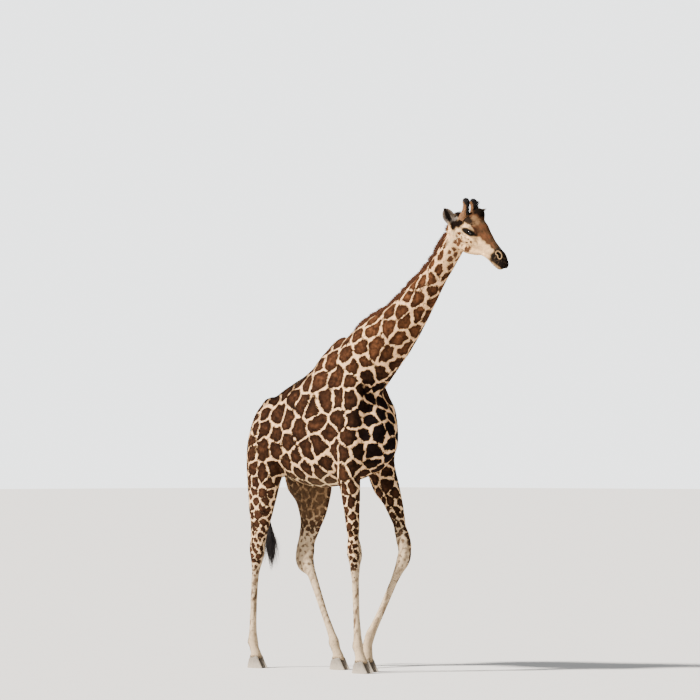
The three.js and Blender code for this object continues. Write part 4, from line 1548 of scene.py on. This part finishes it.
def tail_paths():
    """The tail's black switch: long hairs that hang from the end of the tail, wave and part at the tip."""
    rng = np.random.default_rng(31)
    count, steps = 1900, 12
    tuft, tail = np.array(TAIL_TUFT, float)[::-1], np.array(TAIL, float)[::-1]
    top = rng.uniform(1250, 1420, count)
    turn = rng.uniform(0, 2 * math.pi, count)[:, None]
    lock = np.round(turn / 0.35) * 0.35
    longest = 0.76 + 0.24 * np.cos(lock[:, 0] * 7.3)
    end = 1250 - sizes().tail_hair / MM * (0.286 + 0.714 * rng.beta(2.2, 1.3, count) * longest)
    t = np.linspace(0, 1, steps)[None]
    z = top[:, None] + (end - top)[:, None] * t
    centre = []
    for k in (0, 1):
        below = np.interp(z, tuft[:, 2], tuft[:, k])
        centre.append(np.where(z > 1300, np.interp(z, tail[:, 2], tail[:, k]), below))
    reach = np.where(z > 1320, 14.0, np.interp(z, tuft[:, 2], tuft[:, 3]))
    out = np.sqrt(rng.uniform(0.05, 1, count))[:, None] * 0.95
    phase = t * rng.uniform(5, 9, count)[:, None] + lock * 3 + rng.normal(0, 0.5, count)[:, None]
    wave = 5 * t**1.5 * np.sin(phase)
    curl = 16 * np.maximum(t - 0.72, 0) ** 1.3 * rng.normal(0.5, 1, count)[:, None]
    angle = turn * 0.5 + lock * 0.5 + 0.25 * t
    # One hair in four strays from the switch, most of them in a few locks.
    stray = (rng.uniform(0, 1, count) < 0.26)[:, None] * np.maximum(t - 0.22, 0) ** 1.4
    drift = np.choose(rng.integers(0, 4, count), [-118.0, -70.0, 46.0, 64.0])[:, None]
    hook = 14 * np.sin(t * 7 + drift)
    x = centre[0] + out * reach * np.cos(angle) + wave + curl + stray * (drift + hook)
    y = centre[1] + out * reach * np.sin(angle) + wave * 0.6 + curl + stray * (drift - hook)
    return np.stack([x, y, z], axis=2) * MM + SHIFT, rng.uniform(0.0016, 0.0028, count)


# The longest hair down the front of each horn, in mm.
HORN_BRUSH = {"right": 13.0, "left": 36.0}


def horn_hair_paths():
    """The cap of black hair on the end of each horn, and the brush down its front."""
    rng = np.random.default_rng(51)
    paths, widths = [], []
    for word, longest in HORN_BRUSH.items():
        horn = bpy.data.objects[f"horn_{word}"]
        points, out, tip = coordinates(horn), normals(horn), read_value(horn, "tip")
        h, turned = in_head(points), out @ HEAD_TURN
        pick = rng.choice(len(points), 2200, p=tip / tip.sum())
        front = smooth(turned[:, 0], 0.1, 0.8) * (1 - smooth(h[:, 2], 292, 312)) * smooth(h[:, 2], 200, 250)
        size = (7.0 + (longest - 7.0) * front[pick]) * MM * rng.uniform(0.6, 1.15, len(pick))
        upward = HEAD_TURN @ np.array([0.35, 0, 0.75])
        way = unit(out[pick] + upward + 0.2 * rng.normal(size=(len(pick), 3)))
        t = np.linspace(0, 1, 4)[None, :, None]
        root = points[pick] + 0.002 * rng.normal(size=(len(pick), 3)) - 0.002 * out[pick]
        paths.append(root[:, None] + (way[:, None] * t + 0.2 * upward * t**2) * size[:, None, None])
        widths.append(rng.uniform(0.0018, 0.0028, len(pick)))
    return np.concatenate(paths), np.concatenate(widths)


def lash_paths():
    """Long lashes on the upper lids, short ones on the lower."""
    rng = np.random.default_rng(41)
    paths, widths = [], []
    for side in SIDES.values():
        eye, out, along, up = eye_frame(side)
        for upper, count, reach in ((1, 130, 38.0), (-1, 50, 15.0)):
            for _ in range(count):
                a = rng.uniform(-24, 23)
                b = lid_edge(a, upper) + rng.uniform(0.3, 3.4) * upper
                high = math.sqrt(max((EYE_RADIUS + 4.0) ** 2 - a * a - b * b, 30))
                root = eye + a * along + b * up + (high - 1) * out
                size = reach * rng.uniform(0.7, 1.0) * (1 - 0.35 * abs(a) / 27)
                way = out + (0.25 + a / 60) * along - (0.34 * upper - rng.normal(0, 0.07)) * up
                way /= np.linalg.norm(way)
                t = np.linspace(0, 1, 6)[:, None]
                paths.append(root + size * (way * t + 0.30 * upper * up * t**2))
                widths.append(rng.uniform(1.5, 2.2) * MM)
    return out_of_head(np.array(paths)), np.array(widths)


def lid_edge(a, upper):
    """Height of the upper or the lower lid's edge at a place along the eye, in mm."""
    if upper > 0:
        return 15.5 * max(1 - (abs(a + 2) / 27) ** 2.2, 0)
    return -11.5 * max(1 - (abs(a) / 27) ** 2.4, 0)


def lie_of_coat(r):
    """The way in which the hair lies at each point: from nose to back, down the neck and down the legs."""
    count = len(r.p)
    trunk = np.tile([-1.0, 0.0, -0.30], (count, 1))
    trunk[:, 2] -= 0.9 * smooth(r.p[:, 0], 380, 700) + 0.9 * smooth(-r.p[:, 0], 520, 740)
    down = np.tile([-0.12, 0.0, -1.0], (count, 1))
    neck = -UP_NECK - 0.35 * OFF_NECK
    way = trunk + (neck - trunk) * r.neck[:, None]
    way += (down - way) * r.leg[:, None]
    way += (down - way) * r.tail[:, None]
    face = np.tile([-1.0, 0.0, -0.25], (count, 1))
    face[:, 2] -= 0.8 * smooth(r.side_head, 0.3, 0.9) * (1 - smooth(r.h[:, 0], 420, 560))
    way += (unit(face) @ HEAD_TURN.T - way) * r.head[:, None]
    for side in SIDES.values():
        mine = r.ear * (np.sign(r.h[:, 1]) == side)
        way += (unit(HEAD_TURN @ np.array(EARS[side][1], float)) - way) * mine[:, None]
    way -= r.out * (way * r.out).sum(1)[:, None]
    return unit(way)


def bare(r):
    """0 where hair grows, and 1 in the eyes and nostrils, inside the ears and under the hooves."""
    found = np.maximum(1 - smooth(r.z, HOOF_HEIGHT - 2, HOOF_HEIGHT + 6), ear_hollow(r))
    for side in SIDES.values():
        found = np.maximum(found, 1 - smooth(lids(r.h, side, 60), 3, 6))
        found = np.maximum(found, distance_to_path(r.h, mirrored(NOSTRIL, side)) < 9)
    return found


# Tufts of each part of the coat: how many, how long against the trunk's, how wide in mm, how far they stand.
COAT = {
    "coat_rump": (46000, 1.0, 4.2, 0.18),
    "coat_shoulder": (46000, 1.0, 4.2, 0.18),
    "coat_neck": (44000, 0.85, 3.6, 0.2),
    "coat_legs": (46000, 0.6, 3.0, 0.07),
    "coat_head": (36000, 0.42, 2.1, 0.09),
    "hair_back": (9000, 1.35, 3.2, 0.22),
    "hair_fetlocks": (8000, 1.35, 2.6, 0.34),
    "hair_crown": (3600, 0.85, 2.2, 0.6),
    "hair_poll": (2600, 2.6, 2.6, 1.1),
    "hair_temples": (3000, 1.25, 2.4, 0.55),
    "hair_ears": (3600, 1.35, 1.8, 0.8),
}


def coat_weights(r):
    """How thickly each part of the coat is set on each point of the skin."""
    a, s, u = r.h[:, 0], np.abs(r.h[:, 1]), r.h[:, 2]
    x, z = r.x, r.z
    grown = 1 - bare(r)
    head = np.maximum(r.head, r.ear)
    off_ear = 1 - r.ear
    body = (1 - head) * (1 - r.neck) * (1 - r.leg) * grown
    front = smooth(x, -60, 20)
    backline = smooth(r.out[:, 2], 0.3, 0.9) * smooth(-r.along, 60, 260) * (1 - smooth(-x, 480, 700))
    coronet = smooth(z, 86, 92) * (1 - smooth(z, 104, 118))
    behind = smooth(z, 150, 190) * (1 - smooth(z, 250, 290)) * smooth(-r.out[:, 0], 0.3, 0.8)
    crown = smooth(u, 205, 232) * (1 - smooth(a, 262, 300)) * smooth(a, 20, 60) * (s < 84)
    rims = ear_hollow(r)
    return {
        "coat_rump": body * (1 - front),
        "coat_shoulder": body * front,
        "coat_neck": (1 - head) * r.neck * grown,
        "coat_legs": (1 - head) * r.leg * grown,
        "coat_head": head * grown * (1 + smooth(a, 500, 620)),
        "hair_back": body * backline,
        "hair_fetlocks": np.maximum(coronet, 0.5 * behind) * (r.leg > 0.5),
        "hair_crown": crown * off_ear * r.head,
        "hair_poll": poll(r) * (1 - smooth(a, 40, 66)) * (s < 56) * off_ear,
        "hair_temples": (1 - smooth(temple_hollow(r.h), 30, 44)) * off_ear * grown,
        "hair_ears": smooth(rims, 0.05, 0.25) * (1 - smooth(rims, 0.5, 0.9)),
    }


def poll(r):
    """The top of the head behind the horns, where the mane begins."""
    a = r.h[:, 0]
    return smooth(a, -30, 5) * (1 - smooth(a, 92, 112)) * smooth(r.up_head, 0.2, 0.45)


# Two lines through the hollow between the ear, the horn and the eye.
TEMPLE_LINES = [[(98, 96, 52), (72, 92, 110), (40, 84, 165)], [(140, 98, 104), (112, 92, 160)]]


def temple_hollow(h):
    """Distance from the hollow between the ear, the horn and the eye."""
    near = [distance_to_path(h, mirrored(line, side)) for side in SIDES.values() for line in TEMPLE_LINES]
    return np.minimum.reduce(near)


def coat_object(name, hide, r, lie, weight):
    """One part of the coat: flat tufts that overlap down the lie, each in the colours of its root."""
    count, long, wide, stand = COAT[name]
    roots = hide.scatter(count, weight, 1000 + count)
    rng = np.random.default_rng(count)
    root, out = hide.at(hide.points, *roots), unit(hide.at(hide.out, *roots))
    way = unit(hide.at(lie, *roots))
    astray = np.cross(out, way) * rng.normal(0, 0.16, count)[:, None]
    way = unit(way + astray + out * (stand * rng.uniform(0.6, 1.3, count))[:, None])
    height = sizes().tuft_length * long * rng.uniform(0.75, 1.2, count)
    # Hair is shorter and finer on the muzzle.
    muzzle = hide.at(smooth(r.h[:, 0], 560, 640), *roots) * (name == "coat_head")
    height *= 1 - 0.55 * muzzle
    base = root - out * 0.001
    across = unit(np.cross(way, out))
    half = (0.5 * wide * MM * rng.uniform(0.8, 1.2, count) * (1 - 0.4 * muzzle))[:, None]
    raised = unit(np.cross(across, way))
    raised *= np.sign((raised * out).sum(1))[:, None]
    middle = base + way * height[:, None] * 0.18 + raised * half * 0.7
    tip = root + way * height[:, None]
    corners = np.stack([base + across * half, base - across * half, middle, tip], axis=1)
    faces = np.array([(0, 1, 2), (0, 2, 3), (2, 1, 3), (1, 0, 3)])
    every = faces[None] + (np.arange(count) * 4)[:, None, None]
    made = triangles_object(name, corners.reshape(-1, 3), every.reshape(-1, 3))
    for key in ("ground", "patch"):
        tone = rng.uniform(0.86, 1.12, count)[:, None]
        write_colour(made, key, np.repeat(hide.at(getattr(hide, key), *roots) * tone, 4, axis=0))
    write_value(made, "mark", np.repeat(hide.at(hide.mark, *roots), 4))
    bake_patches(made, hide, *roots, 4)
    return made


class GIRAFFE_OT_coat(bpy.types.Operator):
    """Set the flat tufts of the coat on the whole skin"""

    bl_idname = "giraffe.coat"
    bl_label = "Coat"

    def execute(self, context):
        hide = Hide()
        r = Regions(hide.points, hide.out)
        lie = lie_of_coat(r)
        for name, weight in coat_weights(r).items():
            made = coat_object(name, hide, r, lie, weight)
            wear(made, material("hide_short_coat", coat_material))
            hand_in(made, "coat")
        return {"FINISHED"}


class GIRAFFE_OT_eyes(bpy.types.Operator):
    """Build both eyeballs"""

    bl_idname = "giraffe.eyes"
    bl_label = "Eyes"

    def execute(self, context):
        for word, side in SIDES.items():
            made = eye_object(f"eyeball_{word}", side)
            wear(made, material("eye_wet", eye_material))
            only(made)
            bpy.ops.object.shade_smooth()
            hand_in(made, "eye", f"eye_{word}")
        return {"FINISHED"}


class GIRAFFE_OT_horns(bpy.types.Operator):
    """Build both horns"""

    bl_idname = "giraffe.horns"
    bl_label = "Horns"

    def execute(self, context):
        for word, side in SIDES.items():
            made = horn_object(f"horn_{word}", side)
            wear(made, material("horn_hide", horn_material))
            hand_in(made, "horn", f"ossicone_{word}")
        return {"FINISHED"}


class GIRAFFE_OT_hooves(bpy.types.Operator):
    """Build the two claws of every hoof"""

    bl_idname = "giraffe.hooves"
    bl_label = "Hooves"

    def execute(self, context):
        for name, stations in LEGS.items():
            claws = [claw_object(f"hoof_{name}", stations[-1], side) for side in (RIGHT, LEFT)]
            made = joined(f"hoof_{name}", claws)
            wear(made, material("hoof_horn", hoof_material))
            hand_in(made, "hoof", f"claw_{name}_a", f"claw_{name}_b")
        return {"FINISHED"}


class GIRAFFE_OT_mane(bpy.types.Operator):
    """Build the mane on the crest of the neck"""

    bl_idname = "giraffe.mane"
    bl_label = "Mane"

    def execute(self, context):
        hide = Hide()
        paths, widths, roots = mane_paths(hide)
        hand_in(hair_piece("mane_hair", "mane_hair", paths, widths, hide, roots), "mane", "mane")
        return {"FINISHED"}


class GIRAFFE_OT_tail_hair(bpy.types.Operator):
    """Build the black switch of the tail"""

    bl_idname = "giraffe.tail_hair"
    bl_label = "Tail hair"

    def execute(self, context):
        hand_in(hair_piece("tail_hair", "dark_hair", *tail_paths(), Hide()), "dark_hair", "tail_tuft")
        return {"FINISHED"}


def horn_coat_paths():
    """Short hair that lies up the pale shaft of each horn."""
    rng = np.random.default_rng(52)
    paths, widths = [], []
    for word in SIDES:
        horn = bpy.data.objects[f"horn_{word}"]
        points, out, tip = coordinates(horn), normals(horn), read_value(horn, "tip")
        shaft = (1 - smooth(tip, 0.3, 0.7)) * smooth(in_head(points)[:, 2], 112, 126)
        pick = rng.choice(len(points), 4500, p=shaft / shaft.sum())
        upward = HEAD_TURN @ np.array([-0.25, 0, 1.0])
        way = unit(0.35 * out[pick] + upward + 0.15 * rng.normal(size=(len(pick), 3)))
        t = np.linspace(0, 1, 3)[None, :, None]
        root = points[pick] + 0.0022 * rng.normal(size=(len(pick), 3)) - 0.002 * out[pick]
        paths.append(root[:, None] + way[:, None] * t * rng.uniform(0.008, 0.014, len(pick))[:, None, None])
        widths.append(rng.uniform(0.0016, 0.0026, len(pick)))
    return np.concatenate(paths), np.concatenate(widths)


class GIRAFFE_OT_horn_hair(bpy.types.Operator):
    """Build the black brush and the short pale coat on the horns"""

    bl_idname = "giraffe.horn_hair"
    bl_label = "Horn hair"

    def execute(self, context):
        hide = Hide()
        hand_in(hair_piece("horn_hair", "dark_hair", *horn_hair_paths(), hide), "dark_hair")
        hand_in(hair_piece("horn_coat", "horn_short_hair", *horn_coat_paths(), hide), "horn")
        return {"FINISHED"}


class GIRAFFE_OT_lashes(bpy.types.Operator):
    """Build the lashes of both eyes"""

    bl_idname = "giraffe.lashes"
    bl_label = "Lashes"

    def execute(self, context):
        hand_in(hair_piece("lashes", "dark_hair", *lash_paths(), Hide()), "dark_hair")
        return {"FINISHED"}


# A warm sun from the left and above, a dim even sky for its light, and a bright one behind the giraffe.
SUN_FROM, SUN_STRENGTH, SUN_COLOUR = (-0.32, -0.70, 0.66), 14.0, (1.0, 0.955, 0.9)
SKY_LIGHT, SKY_SEEN = 0.6, 3.3
# Place in metres, turn in degrees and lens in mm.
CAMERA_PLACE, CAMERA_TURN, CAMERA_LENS = (23.5566, -23.8652, 1.81), (91.7145, 0, 45), 197.59


class GIRAFFE_OT_stage(bpy.types.Operator):
    """Build the plain floor, the light and the camera"""

    bl_idname = "giraffe.stage"
    bl_label = "Stage"

    def execute(self, context):
        bpy.ops.mesh.primitive_plane_add(size=400)
        floor = bpy.context.view_layer.objects.active
        floor.name = "floor"
        wear(floor, material("floor_plain", plain_material, "floor_plain", colours().floor, 0.9, 3.0, 0.02))
        world = context.scene.world or bpy.data.worlds.new("sky")
        context.scene.world = world
        world.use_nodes = True
        tree = world.node_tree
        light = tree.nodes["Background"]
        light.inputs["Color"].default_value = (*colours().sky_light, 1)
        light.inputs["Strength"].default_value = SKY_LIGHT
        sky = node(tree, "ShaderNodeBackground", in_Color=(*colours().sky, 1), in_Strength=SKY_SEEN)
        seen = node(tree, "ShaderNodeLightPath").outputs["Is Camera Ray"]
        mixed = node(tree, "ShaderNodeMixShader", [(0, seen), (1, light.outputs[0]), (2, sky.outputs[0])])
        tree.links.new(mixed.outputs[0], tree.nodes["World Output"].inputs["Surface"])
        turn = Vector(SUN_FROM).to_track_quat("Z", "Y").to_euler()
        bpy.ops.object.light_add(type="SUN", rotation=turn)
        sun = bpy.context.view_layer.objects.active
        sun.name = "sun"
        sun.data.energy, sun.data.angle, sun.data.color = SUN_STRENGTH, math.radians(6), SUN_COLOUR
        camera = bpy.data.cameras.new("camera")
        camera.lens, camera.sensor_width, camera.clip_end = CAMERA_LENS, 36, 500
        eye = bpy.data.objects.new("camera", camera)
        context.scene.collection.objects.link(eye)
        eye.location = CAMERA_PLACE
        eye.rotation_euler = [math.radians(angle) for angle in CAMERA_TURN]
        context.scene.camera = eye
        return {"FINISHED"}


class GIRAFFE_PT_panel(bpy.types.Panel):
    """Lists the pieces of the giraffe in the order in which they are built"""

    bl_label = "Giraffe"
    bl_space_type = "VIEW_3D"
    bl_region_type = "UI"
    bl_category = "Giraffe"

    def draw(self, context):
        for operator in OPERATORS:
            self.layout.operator(operator.bl_idname)
        for group in (sizes(), colours()):
            for key in group.bl_rna.properties.keys():
                if key not in ("rna_type", "name"):
                    self.layout.prop(group, key)


OPERATORS = (
    GIRAFFE_OT_skin,
    GIRAFFE_OT_eyes,
    GIRAFFE_OT_horns,
    GIRAFFE_OT_hooves,
    GIRAFFE_OT_mane,
    GIRAFFE_OT_tail_hair,
    GIRAFFE_OT_horn_hair,
    GIRAFFE_OT_lashes,
    GIRAFFE_OT_coat,
    GIRAFFE_OT_stage,
)
CLASSES = (GiraffeSizes, GiraffeColours, *OPERATORS, GIRAFFE_PT_panel)


def register():
    for cls in CLASSES:
        bpy.utils.register_class(cls)
    bpy.types.Scene.giraffe_sizes = bpy.props.PointerProperty(type=GiraffeSizes)
    bpy.types.Scene.giraffe_colours = bpy.props.PointerProperty(type=GiraffeColours)


def unregister():
    del bpy.types.Scene.giraffe_colours
    del bpy.types.Scene.giraffe_sizes
    for cls in reversed(CLASSES):
        bpy.utils.unregister_class(cls)


def main():
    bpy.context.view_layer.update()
    register()
    for operator in OPERATORS:
        group, name = operator.bl_idname.split(".")
        getattr(getattr(bpy.ops, group), name)()


if __name__ == "__main__":
    main()
